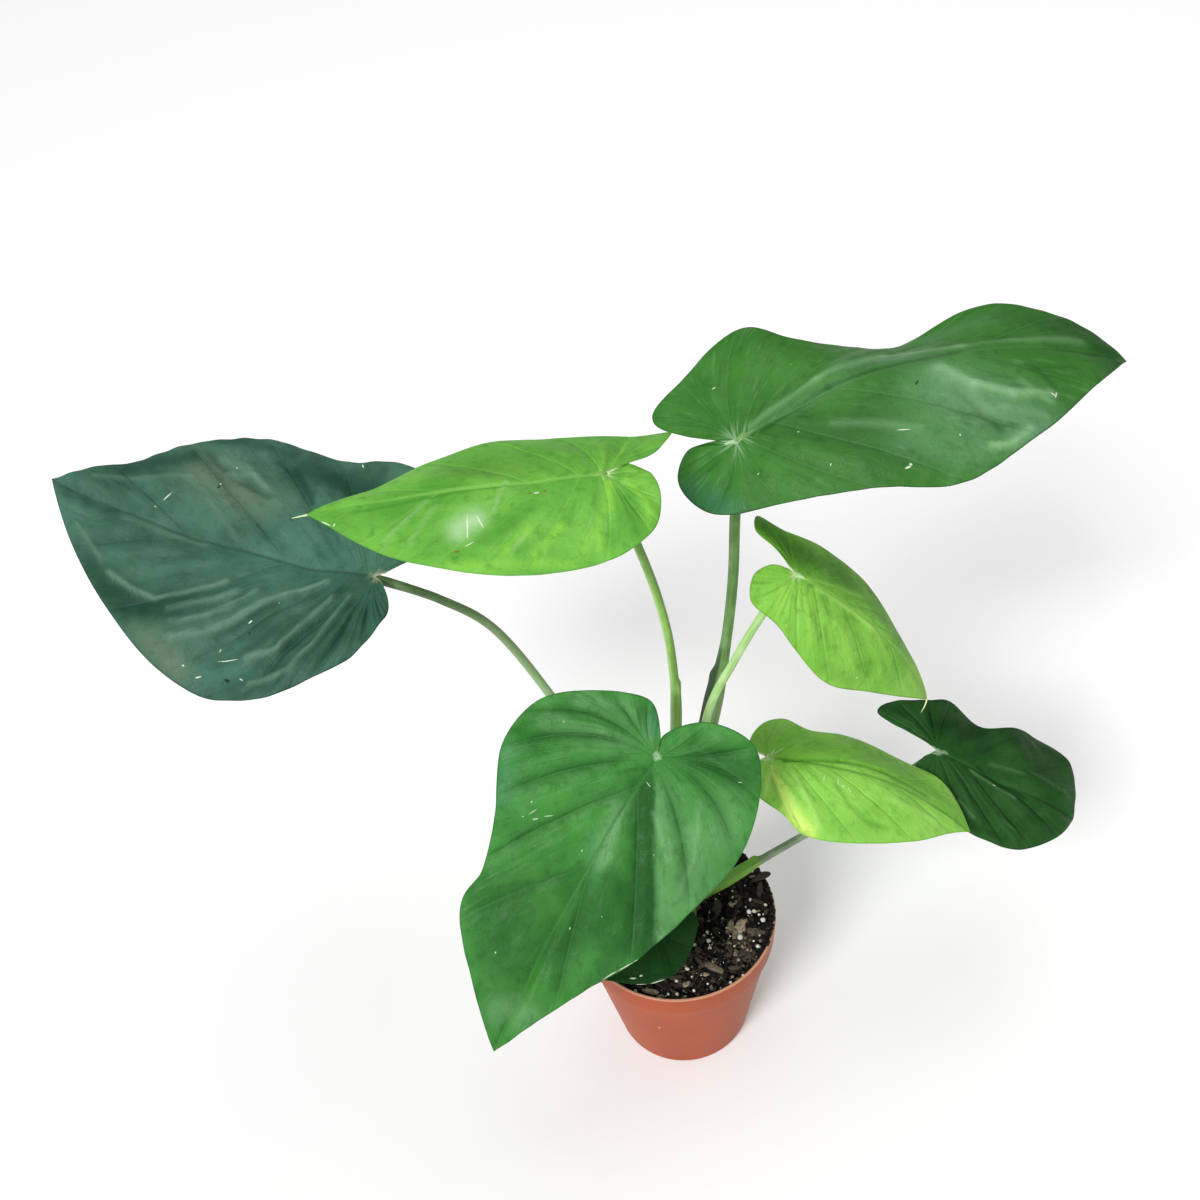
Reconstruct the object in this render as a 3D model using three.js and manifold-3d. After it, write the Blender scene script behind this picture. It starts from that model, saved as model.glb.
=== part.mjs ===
// Potted Syngonium chiapense: a plastic nursery pot, its potting mix, a short stem and eight
// leaves, each with a stalk and a heart-shaped blade.
// Millimetres, +Z up. The origin is the centre of the pot's base. +X is right and +Y is back.
import * as THREE from 'three';
import { mergeVertices } from 'three/addons/utils/BufferGeometryUtils.js';
import Module from 'manifold-3d';

const wasm = await Module();
wasm.setup();

// Gap between pieces that fit into or against each other
const FIT_GAP = 0.3;

// Pot
const POT_HEIGHT = 105;
const POT_RIM_RADIUS = 60;
const POT_BASE_RADIUS = 42;
const POT_WALL = 1.6;
const POT_CORNER = 4;
const POT_CORNER_STEPS = 3;
const RIM_BAND_HEIGHT = 17;
const RIM_STEP = 1.8;
const RIM_DRAFT = 1;
const RIM_BEVEL = 1;
const LIP_ROUNDING = 0.5;
const DRAIN_HOLES = 6;
const DRAIN_HOLE_RADIUS = 4.5;
const DRAIN_CIRCLE_RADIUS = 27;
const DRAIN_HOLE_SIDES = 16;
const POT_SIDES = 56;

// Potting mix
const SOIL_LEVEL = 96;
const SOIL_CROWN_RISE = 3;
const SOIL_CROWN_SPREAD = 24;
const SOIL_BACK_RISE = 5;
const SOIL_RIPPLE = 0.9;
const SOIL_RINGS = 7;
const SOIL_SIDES = 32;
const SOIL_SEED = 11;

// Bark chips and round grains in the top of the mix
const CHIP_COUNT = 44;
const CHIP_SHORTEST = 6;
const CHIP_LONGEST = 14;
const CHIP_ASPECT = 0.5;
const CHIP_DEPTH = 14;
const CHIP_SHOWS = 1.6;
const CHIP_TILT = 0.25;
const GRAIN_COUNT = 20;
const GRAIN_SMALLEST = 1.4;
const GRAIN_LARGEST = 2.2;
const GRAIN_SHOWS = 0.4;
const PIECE_MARGIN = 2;

// Crown, where the stem and the leaf stalks come out of the mix
const CROWN = { x: 1, y: 8 };
const STEM_RADIUS = 6;
const STEM_FOOT = 80;
const STEM_TOP = 117;
const STEM_SIDES = 14;
// The stem's radius at some heights: sunk in the mix, then two swollen rings and a blunt top.
const STEM_PROFILE = [
  [5.4, STEM_FOOT], [STEM_RADIUS, 84], [5.6, 100], [STEM_RADIUS, 104], [5, 107], [4.6, 111],
  [3, 115], [0, STEM_TOP],
];

// Leaf stalks
const STALK_CIRCLE_RADIUS = 11;
const STALK_FOOT = 85;
const STALK_UPRIGHT_TO = 100;
const STALK_SIDES = 10;
const STALK_SECTIONS = 15;
const STALK_BASE_RADIUS = 3.6;
const STALK_TAPER = 1.5;
const STALK_HOLE_SIDES = 12;
const SHEATH_WIDENING = 0.6;
const SHEATH_END_LENGTH = 0.08;

// Blades
const BLADE_THICKNESS = 0.9;
const MIDRIB_KEEL = 1.2;
const MARGIN_STEPS = 18;
const ACROSS_STEPS = 6;
const MAIN_VEINS = 9;
const RIPPLES = 4.5;
// Share of the margin that is fed by the veins that start at the stalk
const BASAL_SHARE = 0.4;
// How far out, and how far forward, a vein has come at its bend
const VEIN_OUT = 0.62;
const VEIN_FORWARD = 0.18;
// Reach of a vein, in half widths, past which the blade swells in full beside it
const FULL_QUILT_REACH = 0.625;
// Share of a crease's length, from the stalk, over which it deepens
const CREASE_START = 0.5;

// The eight leaves. A blade is drawn flat as [along, across] points, one at the end of each main
// vein, from the notch at the stalk round the back lobe to the tip, for its left and right half
// as seen from the stalk. Then it is bent: droop and sweep bend the midrib, cup and sag bend the
// halves, a wave lifts or drops one stretch of the margin, a crease is a valley from the stalk
// towards a point of the margin, quilt is the swelling between the veins, and ripple that of the
// margin. Its stalk stands on the circle round the stem at the angle foot, and follows route.
const LEAVES = [
  {
    name: 'left', color: 0x2f5e4e, stalkColor: 0x7a9a62, attach: [-132, 34, 373],
    heading: 161, rise: 0, roll: -14, length: 191, droop: -8, sweep: -26,
    cup: [0.08, 0], sag: [8, 6], halfWidth: 75, quilt: 2.4, ripple: 1.6,
    left: [
      [-3, 2], [-10, 12], [-11, 25], [-5, 42], [15, 63], [48, 79], [88, 75], [130, 52], [163, 26],
      [191, 0],
    ],
    right: [
      [-4, 2], [-18, 14], [-26, 32], [-20, 52], [2, 69], [44, 71], [86, 70], [128, 50], [162, 24],
      [191, 0],
    ],
    foot: 180, neck: 2.2, sheath: 0.4,
    route: [[-11, 9, 125], [-24, 14, 175], [-42, 22, 240], [-57, 28, 282], [-79, 30, 331], [-103, 32, 354]],
  },
  {
    name: 'middle', color: 0x5cb038, stalkColor: 0x8fbf5a, attach: [-14, 20, 431],
    heading: 182, rise: 5, roll: 0, length: 143, droop: 20, sweep: -16,
    cup: [-0.1, -0.16], sag: [6, 4], halfWidth: 52, quilt: 1.2, ripple: 0.8,
    left: [
      [-4, 1], [-16, 4], [-23, 14], [-20, 31], [-5, 45], [22, 52], [55, 50], [86, 42], [116, 25],
      [143, 0],
    ],
    right: [
      [-5, 3], [-18, 13], [-30, 26], [-37, 43], [-16, 38], [18, 44], [52, 45], [84, 31], [114, 12],
      [143, 0],
    ],
    foot: 135, neck: 2.2, sheath: 0.6,
    route: [[-6, 16, 130], [2, 13, 190], [9, 12, 265], [9, 13, 318], [4, 14, 358], [-5, 17, 396]],
  },
  {
    name: 'upper_right', color: 0x3a8a35, stalkColor: 0x5c9a48, attach: [52, 65, 406],
    heading: 10, rise: 27, roll: 12, length: 218, droop: 56, sweep: -22,
    cup: [0.05, 0], sag: [0, 12], halfWidth: 62, quilt: 1.4, ripple: 1.2,
    wave: { side: 'left', along: 110, spread: 46, height: -50 },
    left: [
      [-4, 2], [-20, 20], [-31, 40], [-10, 49], [30, 57], [72, 53], [116, 50], [162, 43],
      [194, 27], [218, 0],
    ],
    right: [
      [-5, -2], [-24, -13], [-36, 0], [-28, 27], [4, 42], [46, 57], [90, 68], [134, 54],
      [178, 28], [218, 0],
    ],
    foot: 90, neck: 2.8, sheath: 0.45,
    route: [[3, 20, 128], [16, 28, 175], [31, 38, 240], [41, 46, 284], [47, 54, 323], [50, 61, 361]],
  },
  {
    name: 'mid_right', color: 0x7cc04a, stalkColor: 0xa6d880, attach: [75, 25, 349],
    heading: -12, rise: -31, roll: 22, length: 120, droop: 42, sweep: -12,
    cup: [-0.35, -0.1], sag: [4, 6], halfWidth: 36, quilt: 1, ripple: 0.6,
    left: [
      [-4, 3], [-14, 13], [-25, 20], [-24, 31], [-6, 28], [20, 30], [48, 27], [74, 16], [98, 9],
      [120, 0],
    ],
    right: [
      [-3, -2], [-14, 0], [-21, 9], [-18, 21], [-5, 27], [18, 36], [42, 39], [68, 29], [94, 16],
      [120, 0],
    ],
    foot: 45, neck: 2.1, sheath: 0.5,
    route: [[10, 16, 128], [16, 14, 190], [26, 14, 264], [42, 18, 300], [58, 22, 328]],
  },
  {
    name: 'front', color: 0x357f38, stalkColor: 0x7fb054, attach: [-5, -38, 297],
    heading: -145, rise: -39, roll: -38, length: 179, droop: 8, sweep: 16,
    cup: [0.1, 0.1], sag: [7, 7], halfWidth: 64, quilt: 2.2, ripple: 1.6,
    crease: { side: 'left', to: [98, 40], depth: 5, spread: 12 },
    left: [
      [-4, -1], [-20, 1], [-30, 16], [-30, 38], [-10, 54], [24, 62], [58, 56], [97, 43],
      [140, 19], [179, 0],
    ],
    right: [
      [-4, 2], [-18, 10], [-23, 22], [-12, 42], [8, 64], [38, 69], [72, 57], [108, 52],
      [145, 30], [179, 0],
    ],
    foot: 270, neck: 2.6, sheath: 0.45,
    route: [[1, -3, 128], [3, -5, 165], [2, -12, 210], [-2, -24, 262]],
  },
  {
    name: 'lower_right', color: 0x8ccc48, stalkColor: 0x98c860, attach: [55, -7, 249],
    heading: -7, rise: -5, roll: 5, length: 128, droop: 45, sweep: -12,
    cup: [-0.3, -0.05], sag: [4, 6], halfWidth: 40, quilt: 1, ripple: 0.6,
    left: [
      [-4, 3], [-11, 11], [-8, 24], [6, 37], [22, 34], [42, 31], [64, 34], [88, 33], [112, 23],
      [128, 0],
    ],
    right: [
      [-3, 1], [-12, 5], [-16, 14], [-8, 25], [12, 34], [34, 42], [60, 37], [86, 27], [110, 11],
      [128, 0],
    ],
    foot: 315, neck: 2.1, sheath: 0.45,
    route: [[10, -1, 126], [18, -2, 165], [32, -4, 208], [44, -6, 232]],
  },
  {
    name: 'far_right', color: 0x1f4a22, stalkColor: 0x7cb048, attach: [158, 22, 201],
    heading: -21, rise: -20, roll: 8, length: 94, droop: 22, sweep: 4,
    cup: [0, 0], sag: [6, 6], halfWidth: 45, quilt: 2, ripple: 0.8,
    left: [
      [-4, 2], [-22, 7], [-39, 13], [-30, 24], [-9, 31], [6, 42], [26, 36], [60, 44], [89, 38],
      [94, 0],
    ],
    right: [
      [-3, 2], [-8, 7], [-11, 15], [-8, 26], [8, 36], [30, 39], [54, 38], [70, 30], [84, 17],
      [94, 0],
    ],
    foot: 0, neck: 1.8, sheath: 0.42,
    route: [[17, 6, 112], [32, 3, 127], [56, 3, 147], [84, 7, 162], [120, 14, 180]],
  },
  {
    name: 'low', color: 0x0e3a1a, stalkColor: 0x6a9a4c, attach: [-16, -30, 140],
    heading: 182, rise: -12, roll: -10, length: 88, droop: 20, sweep: 0,
    cup: [0.05, 0.05], sag: [5, 5], halfWidth: 38, quilt: 1.4, ripple: 0.6,
    left: [
      [-3, 1], [-17, 2], [-25, 12], [-20, 23], [-5, 28], [15, 29], [37, 27], [58, 20], [76, 9],
      [88, 0],
    ],
    right: [
      [-3, 1], [-15, 3], [-22, 11], [-17, 18], [-2, 20], [16, 23], [38, 23], [58, 17], [76, 9],
      [88, 0],
    ],
    foot: 225, neck: 1.8, sheath: 0.5,
    route: [[-9, -6, 112], [-12, -15, 124], [-15, -25, 134]],
  },
];

const radians = THREE.MathUtils.degToRad;

// A small seeded generator of numbers from 0 to 1, so that the mix is the same each time.
function seeded(seed) {
  const [factor, step, period] = [1664525, 1013904223, 4294967296];
  let state = seed;
  return () => {
    state = (state * factor + step) % period;
    return state / period;
  };
}

// The shared-vertex form of a closed geometry, without its zero-area triangles.
function welded(geometry) {
  geometry.deleteAttribute('normal');
  geometry.deleteAttribute('uv');
  const merged = mergeVertices(geometry, 1e-4);
  const index = merged.index.array;
  const kept = [];
  for (let i = 0; i < index.length; i += 3) {
    const [a, b, c] = [index[i], index[i + 1], index[i + 2]];
    if (a !== b && b !== c && c !== a) kept.push(a, b, c);
  }
  merged.setIndex(kept);
  return merged;
}

function toSolid(geometry) {
  const closed = welded(geometry);
  return new wasm.Manifold(new wasm.Mesh({
    numProp: 3,
    vertProperties: new Float32Array(closed.attributes.position.array),
    triVerts: new Uint32Array(closed.index.array),
  }));
}

function toGeometry(solid) {
  const mesh = solid.getMesh();
  const geometry = new THREE.BufferGeometry();
  geometry.setAttribute('position', new THREE.BufferAttribute(mesh.vertProperties, 3));
  geometry.setIndex(new THREE.BufferAttribute(mesh.triVerts, 1));
  return geometry;
}

function indexedGeometry(positions, index) {
  const geometry = new THREE.BufferGeometry();
  geometry.setAttribute('position', new THREE.Float32BufferAttribute(positions, 3));
  geometry.setIndex(index);
  return geometry;
}

function named(name, geometry, color, roughness) {
  geometry.computeVertexNormals();
  const material = new THREE.MeshStandardMaterial({ color, roughness, metalness: 0 });
  const mesh = new THREE.Mesh(geometry, material);
  mesh.name = name;
  return mesh;
}

// A profile of [radius, height] points turned about the vertical axis.
function turned(profile, sides) {
  const lathe = new THREE.LatheGeometry(
    profile.map(([radius, height]) => new THREE.Vector2(radius, height)),
    sides,
  );
  lathe.rotateX(Math.PI / 2);
  return lathe;
}

// An upright round bar from one level to another.
function uprightBar(x, y, low, high, radius, sides) {
  const bar = new THREE.CylinderGeometry(radius, radius, high - low, sides);
  bar.rotateX(Math.PI / 2);
  bar.translate(x, y, (low + high) / 2);
  return bar;
}

// The pot's wall below the rim band, as its outer radius at a height.
const WALL_TOP = POT_HEIGHT - RIM_BAND_HEIGHT;
const WALL_TOP_RADIUS = POT_RIM_RADIUS - RIM_DRAFT - RIM_STEP;
function wallRadius(height) {
  const share = (height - POT_CORNER) / (WALL_TOP - POT_CORNER);
  return POT_BASE_RADIUS + (WALL_TOP_RADIUS - POT_BASE_RADIUS) * share;
}

// A turned profile of one wall thickness: flat base, rounded corner, tapered side, stepped rim.
function potGeometry() {
  const cornerCentre = POT_BASE_RADIUS - POT_CORNER;
  const outer = [[0, 0]];
  const inner = [];
  for (let i = 0; i <= POT_CORNER_STEPS; i += 1) {
    const angle = (i / POT_CORNER_STEPS) * (Math.PI / 2);
    const [out, up] = [Math.sin(angle), 1 - Math.cos(angle)];
    outer.push([cornerCentre + POT_CORNER * out, POT_CORNER * up]);
    inner.push([
      cornerCentre + (POT_CORNER - POT_WALL) * out,
      POT_WALL + (POT_CORNER - POT_WALL) * up,
    ]);
  }
  outer.push(
    [WALL_TOP_RADIUS, WALL_TOP],
    [POT_RIM_RADIUS - RIM_DRAFT, WALL_TOP + RIM_BEVEL],
    [POT_RIM_RADIUS, POT_HEIGHT - RIM_BEVEL],
    [POT_RIM_RADIUS - LIP_ROUNDING, POT_HEIGHT],
  );
  inner.push(
    [WALL_TOP_RADIUS - POT_WALL, WALL_TOP],
    [POT_RIM_RADIUS - RIM_DRAFT - POT_WALL, WALL_TOP + 2 * RIM_BEVEL],
    [POT_RIM_RADIUS - POT_WALL, POT_HEIGHT - LIP_ROUNDING],
    [POT_RIM_RADIUS - POT_WALL + LIP_ROUNDING, POT_HEIGHT],
  );
  const holes = [];
  for (let i = 0; i < DRAIN_HOLES; i += 1) {
    const angle = (i / DRAIN_HOLES) * 2 * Math.PI;
    const x = DRAIN_CIRCLE_RADIUS * Math.cos(angle);
    const y = DRAIN_CIRCLE_RADIUS * Math.sin(angle);
    const bar = uprightBar(x, y, -POT_WALL, 2 * POT_WALL, DRAIN_HOLE_RADIUS, DRAIN_HOLE_SIDES);
    holes.push(toSolid(bar));
  }
  const body = toSolid(turned([...outer, ...inner.reverse(), [0, POT_WALL]], POT_SIDES));
  return toGeometry(body.subtract(wasm.Manifold.union(holes)));
}

// The height of the mix: a mound round the crown, a rise to the back right, and low ripples.
function soilHeight(x, y) {
  const fromCrown = Math.hypot(x - CROWN.x, y - CROWN.y) / SOIL_CROWN_SPREAD;
  const back = Math.max(0, (x + y) / (2 * POT_RIM_RADIUS));
  const ripple = Math.sin(x * 0.35 + 1.1) * Math.cos(y * 0.31 - 0.4);
  return SOIL_LEVEL + SOIL_CROWN_RISE * Math.exp(-fromCrown * fromCrown)
    + SOIL_BACK_RISE * back * back + SOIL_RIPPLE * ripple;
}

// The bare mix fills the pot up to its uneven top.
function soilBody() {
  const bottom = POT_WALL + FIT_GAP;
  const innerRadius = (height) => wallRadius(height) - POT_WALL - FIT_GAP;
  const positions = [];
  const index = [];
  const levels = [
    { height: () => bottom, radius: POT_BASE_RADIUS - POT_CORNER },
    { height: () => POT_CORNER + FIT_GAP, radius: innerRadius(POT_CORNER) },
    { height: () => WALL_TOP, radius: innerRadius(WALL_TOP) },
  ];
  for (let ring = 0; ring < SOIL_RINGS; ring += 1) {
    const share = 1 - ring / SOIL_RINGS;
    levels.push({ height: soilHeight, radius: innerRadius(WALL_TOP) * share });
  }
  for (const level of levels) {
    for (let i = 0; i < SOIL_SIDES; i += 1) {
      const angle = (i / SOIL_SIDES) * 2 * Math.PI;
      const x = level.radius * Math.cos(angle);
      const y = level.radius * Math.sin(angle);
      positions.push(x, y, level.height(x, y));
    }
  }
  for (let level = 0; level + 1 < levels.length; level += 1) {
    for (let i = 0; i < SOIL_SIDES; i += 1) {
      const a = level * SOIL_SIDES + i;
      const b = level * SOIL_SIDES + ((i + 1) % SOIL_SIDES);
      index.push(a, b, b + SOIL_SIDES, a, b + SOIL_SIDES, a + SOIL_SIDES);
    }
  }
  const bottomCentre = positions.length / 3;
  positions.push(0, 0, bottom, 0, 0, soilHeight(0, 0));
  const lastRing = (levels.length - 1) * SOIL_SIDES;
  for (let i = 0; i < SOIL_SIDES; i += 1) {
    const next = (i + 1) % SOIL_SIDES;
    index.push(bottomCentre, next, i);
    index.push(bottomCentre + 1, lastRing + i, lastRing + next);
  }
  return toSolid(indexedGeometry(positions, index));
}

// A place on the mix between the crown and the pot's wall, at least margin from both.
function placeOnSoil(random, margin) {
  const reach = WALL_TOP_RADIUS - POT_WALL - FIT_GAP - margin;
  const keepOff = STALK_CIRCLE_RADIUS + STALK_BASE_RADIUS + margin;
  for (;;) {
    const radius = reach * Math.sqrt(random());
    const angle = 2 * Math.PI * random();
    const x = radius * Math.cos(angle);
    const y = radius * Math.sin(angle);
    if (Math.hypot(x - CROWN.x, y - CROWN.y) > keepOff) return { x, y, z: soilHeight(x, y) };
  }
}

// A bark chip, deep enough to be rooted well in the mix under it.
function chipSolid(random) {
  const length = CHIP_SHORTEST + (CHIP_LONGEST - CHIP_SHORTEST) * random();
  const chip = new THREE.BoxGeometry(length, length * CHIP_ASPECT, CHIP_DEPTH);
  chip.translate(0, 0, CHIP_SHOWS - CHIP_DEPTH / 2);
  chip.rotateX(CHIP_TILT * (2 * random() - 1));
  chip.rotateY(CHIP_TILT * (2 * random() - 1));
  chip.rotateZ(Math.PI * random());
  const place = placeOnSoil(random, length / 2 + PIECE_MARGIN);
  chip.translate(place.x, place.y, place.z);
  return toSolid(chip);
}

function grainSolid(random) {
  const radius = GRAIN_SMALLEST + (GRAIN_LARGEST - GRAIN_SMALLEST) * random();
  const grain = new THREE.IcosahedronGeometry(radius, 0);
  grain.rotateX(Math.PI * random());
  const place = placeOnSoil(random, GRAIN_LARGEST + 1);
  grain.translate(place.x, place.y, place.z + GRAIN_SHOWS);
  return toSolid(grain);
}

// The mix with its chips and grains, and a plain round hole for the stem and for each stalk.
function soilGeometry() {
  const random = seeded(SOIL_SEED);
  const solids = [soilBody()];
  for (let i = 0; i < CHIP_COUNT; i += 1) solids.push(chipSolid(random));
  for (let i = 0; i < GRAIN_COUNT; i += 1) solids.push(grainSolid(random));
  const stemHole = uprightBar(
    CROWN.x,
    CROWN.y,
    STEM_FOOT - FIT_GAP,
    STEM_TOP,
    STEM_RADIUS + FIT_GAP,
    STEM_SIDES,
  );
  const holes = [toSolid(stemHole)];
  for (const leaf of LEAVES) {
    const [x, y] = stalkFoot(leaf);
    const radius = STALK_BASE_RADIUS + FIT_GAP;
    holes.push(toSolid(uprightBar(x, y, STALK_FOOT - FIT_GAP, STEM_TOP, radius, STALK_HOLE_SIDES)));
  }
  return toGeometry(wasm.Manifold.union(solids).subtract(wasm.Manifold.union(holes)));
}

// A short round stem.
function stemGeometry() {
  const stem = turned([[0, STEM_FOOT], ...STEM_PROFILE], STEM_SIDES);
  stem.translate(CROWN.x, CROWN.y, 0);
  return welded(stem);
}

// The blade's own axes: forward along the midrib, to its left, and up from its face.
function bladeAxes(leaf) {
  const [az, el, roll] = [radians(leaf.heading), radians(leaf.rise), radians(leaf.roll)];
  const forward = new THREE.Vector3(
    Math.cos(az) * Math.cos(el),
    Math.sin(az) * Math.cos(el),
    Math.sin(el),
  );
  const level = new THREE.Vector3(
    -Math.cos(az) * Math.sin(el),
    -Math.sin(az) * Math.sin(el),
    Math.cos(el),
  );
  const left = new THREE.Vector3().crossVectors(level, forward).applyAxisAngle(forward, roll);
  const up = new THREE.Vector3().crossVectors(forward, left);
  return { forward, left, up };
}

// Flat coordinates on one half. v runs along the margin from the notch to the tip, and r from
// the midrib out to the margin, along a vein that leaves the midrib and bends forward.
function flatPoint(leaf, margin, v, r) {
  const end = margin.getPoint(v);
  const start = leaf.length * Math.max(0, (v - BASAL_SHARE) / (1 - BASAL_SHARE));
  const bendAlong = start + VEIN_FORWARD * (end.x - start);
  const bendAcross = VEIN_OUT * end.y;
  return {
    along: (1 - r) * (1 - r) * start + 2 * r * (1 - r) * bendAlong + r * r * end.x,
    across: 2 * r * (1 - r) * bendAcross + r * r * end.y,
    start,
  };
}

// The relief of one half: the blade swells between its main veins, less on short veins, its
// margin ripples, and a crease sinks.
function reliefHeight(leaf, side, flat, v, r) {
  const betweenVeins = 0.5 - 0.5 * Math.cos(2 * Math.PI * MAIN_VEINS * v);
  const reach = Math.hypot(flat.along - flat.start, flat.across) / leaf.halfWidth;
  const swell = betweenVeins * Math.min(1, reach / FULL_QUILT_REACH) * Math.sin(Math.PI * r);
  let height = leaf.quilt * swell + leaf.ripple * Math.sin(2 * Math.PI * RIPPLES * v) * r ** 3;
  if (leaf.crease && leaf.crease.side === side) {
    const [toAlong, toAcross] = leaf.crease.to;
    const span = Math.hypot(toAlong, toAcross);
    const away = (flat.along * toAcross - flat.across * toAlong) / span / leaf.crease.spread;
    const run = Math.max(0, flat.along * toAlong + flat.across * toAcross) / span / span;
    const offMidrib = Math.max(0, flat.across) / leaf.crease.spread;
    const sunk = Math.min(1, run / CREASE_START, offMidrib);
    height -= leaf.crease.depth * sunk * Math.exp(-away * away);
  }
  return height;
}

// Bends a flat point into place and moves it lift along the face's upward direction.
function bentPoint(leaf, axes, along, across, lift) {
  const half = across > 0 ? 0 : 1;
  const side = across > 0 ? 'left' : 'right';
  const turn = radians(leaf.droop) / leaf.length;
  const angle = turn * along;
  const width = Math.abs(across) / leaf.halfWidth;
  let height = leaf.cup[half] * Math.abs(across) - leaf.sag[half] * width * width + lift;
  if (leaf.wave && leaf.wave.side === side) {
    const off = (along - leaf.wave.along) / leaf.wave.spread;
    height += leaf.wave.height * Math.exp(-off * off) * width;
  }
  const share = Math.max(0, along) / leaf.length;
  const forward = Math.sin(angle) / turn + height * Math.sin(angle);
  const sideways = across + leaf.sweep * share * share;
  const up = (Math.cos(angle) - 1) / turn + height * Math.cos(angle);
  return new THREE.Vector3(...leaf.attach)
    .addScaledVector(axes.forward, forward)
    .addScaledVector(axes.left, sideways)
    .addScaledVector(axes.up, up);
}

// The points of one half's upper face and then of its lower face, a row for each step along the
// margin. The lower face stands out in a keel along the midrib.
function bladeHalfPoints(leaf, axes, side) {
  const sign = side === 'left' ? 1 : -1;
  const margin = new THREE.SplineCurve(leaf[side].map(([x, y]) => new THREE.Vector2(x, y)));
  const positions = [];
  for (const upper of [true, false]) {
    for (let i = 0; i <= MARGIN_STEPS; i += 1) {
      for (let j = 0; j <= ACROSS_STEPS; j += 1) {
        const [v, r] = [i / MARGIN_STEPS, j / ACROSS_STEPS];
        const flat = flatPoint(leaf, margin, v, r);
        const keel = j === 0 ? MIDRIB_KEEL * (1 - flat.start / leaf.length) : 0;
        const depth = upper ? 0 : BLADE_THICKNESS + keel;
        const lift = reliefHeight(leaf, side, flat, v, r) - depth;
        positions.push(...bentPoint(leaf, axes, flat.along, sign * flat.across, lift));
      }
    }
  }
  return positions;
}

// The triangles of one half: both faces split alike, and a strip round the edge and the notch.
function bladeHalfIndex(side, first) {
  const columns = ACROSS_STEPS + 1;
  const faceSize = (MARGIN_STEPS + 1) * columns;
  const index = [];
  const at = (upper, i, j) => first + (upper ? 0 : faceSize) + i * columns + j;
  const triangle = (a, b, c) => index.push(...(side === 'left' ? [a, b, c] : [a, c, b]));
  const quad = (a, b, c, d) => {
    triangle(a, b, c);
    triangle(a, c, d);
  };
  for (let i = 0; i < MARGIN_STEPS; i += 1) {
    for (let j = 0; j < ACROSS_STEPS; j += 1) {
      quad(at(true, i, j), at(true, i + 1, j), at(true, i + 1, j + 1), at(true, i, j + 1));
      const [a, b] = [at(false, i, j), at(false, i + 1, j)];
      const [c, d] = [at(false, i + 1, j + 1), at(false, i, j + 1)];
      triangle(a, c, b);
      triangle(a, d, c);
    }
    const [e, f] = [at(true, i, ACROSS_STEPS), at(true, i + 1, ACROSS_STEPS)];
    quad(e, f, at(false, i + 1, ACROSS_STEPS), at(false, i, ACROSS_STEPS));
  }
  for (let j = 0; j < ACROSS_STEPS; j += 1) {
    quad(at(true, 0, j), at(true, 0, j + 1), at(false, 0, j + 1), at(false, 0, j));
  }
  return index;
}

// A thin closed blade of two halves that share the midrib.
function bladeGeometry(leaf) {
  const axes = bladeAxes(leaf);
  const positions = [];
  const index = [];
  for (const side of ['left', 'right']) {
    index.push(...bladeHalfIndex(side, positions.length / 3));
    positions.push(...bladeHalfPoints(leaf, axes, side));
  }
  return welded(indexedGeometry(positions, index));
}

// Where a stalk stands on the circle round the stem.
function stalkFoot(leaf) {
  const angle = radians(leaf.foot);
  return [
    CROWN.x + STALK_CIRCLE_RADIUS * Math.cos(angle),
    CROWN.y + STALK_CIRCLE_RADIUS * Math.sin(angle),
  ];
}

// A stalk's centre line, from the bottom of its hole in the mix to just under the blade.
function stalkRoute(leaf) {
  const [footX, footY] = stalkFoot(leaf);
  const { up } = bladeAxes(leaf);
  const last = new THREE.Vector3(...leaf.route[leaf.route.length - 1]);
  const attach = new THREE.Vector3(...leaf.attach);
  const slope = attach.clone().sub(last).normalize().dot(up);
  const clearance = BLADE_THICKNESS + MIDRIB_KEEL + FIT_GAP
    + leaf.neck * Math.sqrt(1 - slope * slope);
  const points = [
    new THREE.Vector3(footX, footY, STALK_FOOT),
    new THREE.Vector3(footX, footY, STALK_UPRIGHT_TO),
    ...leaf.route.map((point) => new THREE.Vector3(...point)),
    attach.addScaledVector(up, -clearance),
  ];
  return new THREE.CatmullRomCurve3(points, false, 'catmullrom', 0.5);
}

// A stalk's radius: it tapers from its base to its neck, and its sheathed part is wider.
function stalkRadius(leaf, share) {
  const { smoothstep } = THREE.MathUtils;
  const sheathed = 1 - smoothstep(share, leaf.sheath - SHEATH_END_LENGTH, leaf.sheath);
  const taper = (STALK_BASE_RADIUS - SHEATH_WIDENING - leaf.neck) * (1 - share) ** STALK_TAPER;
  return leaf.neck + SHEATH_WIDENING * sheathed + taper;
}

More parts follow.
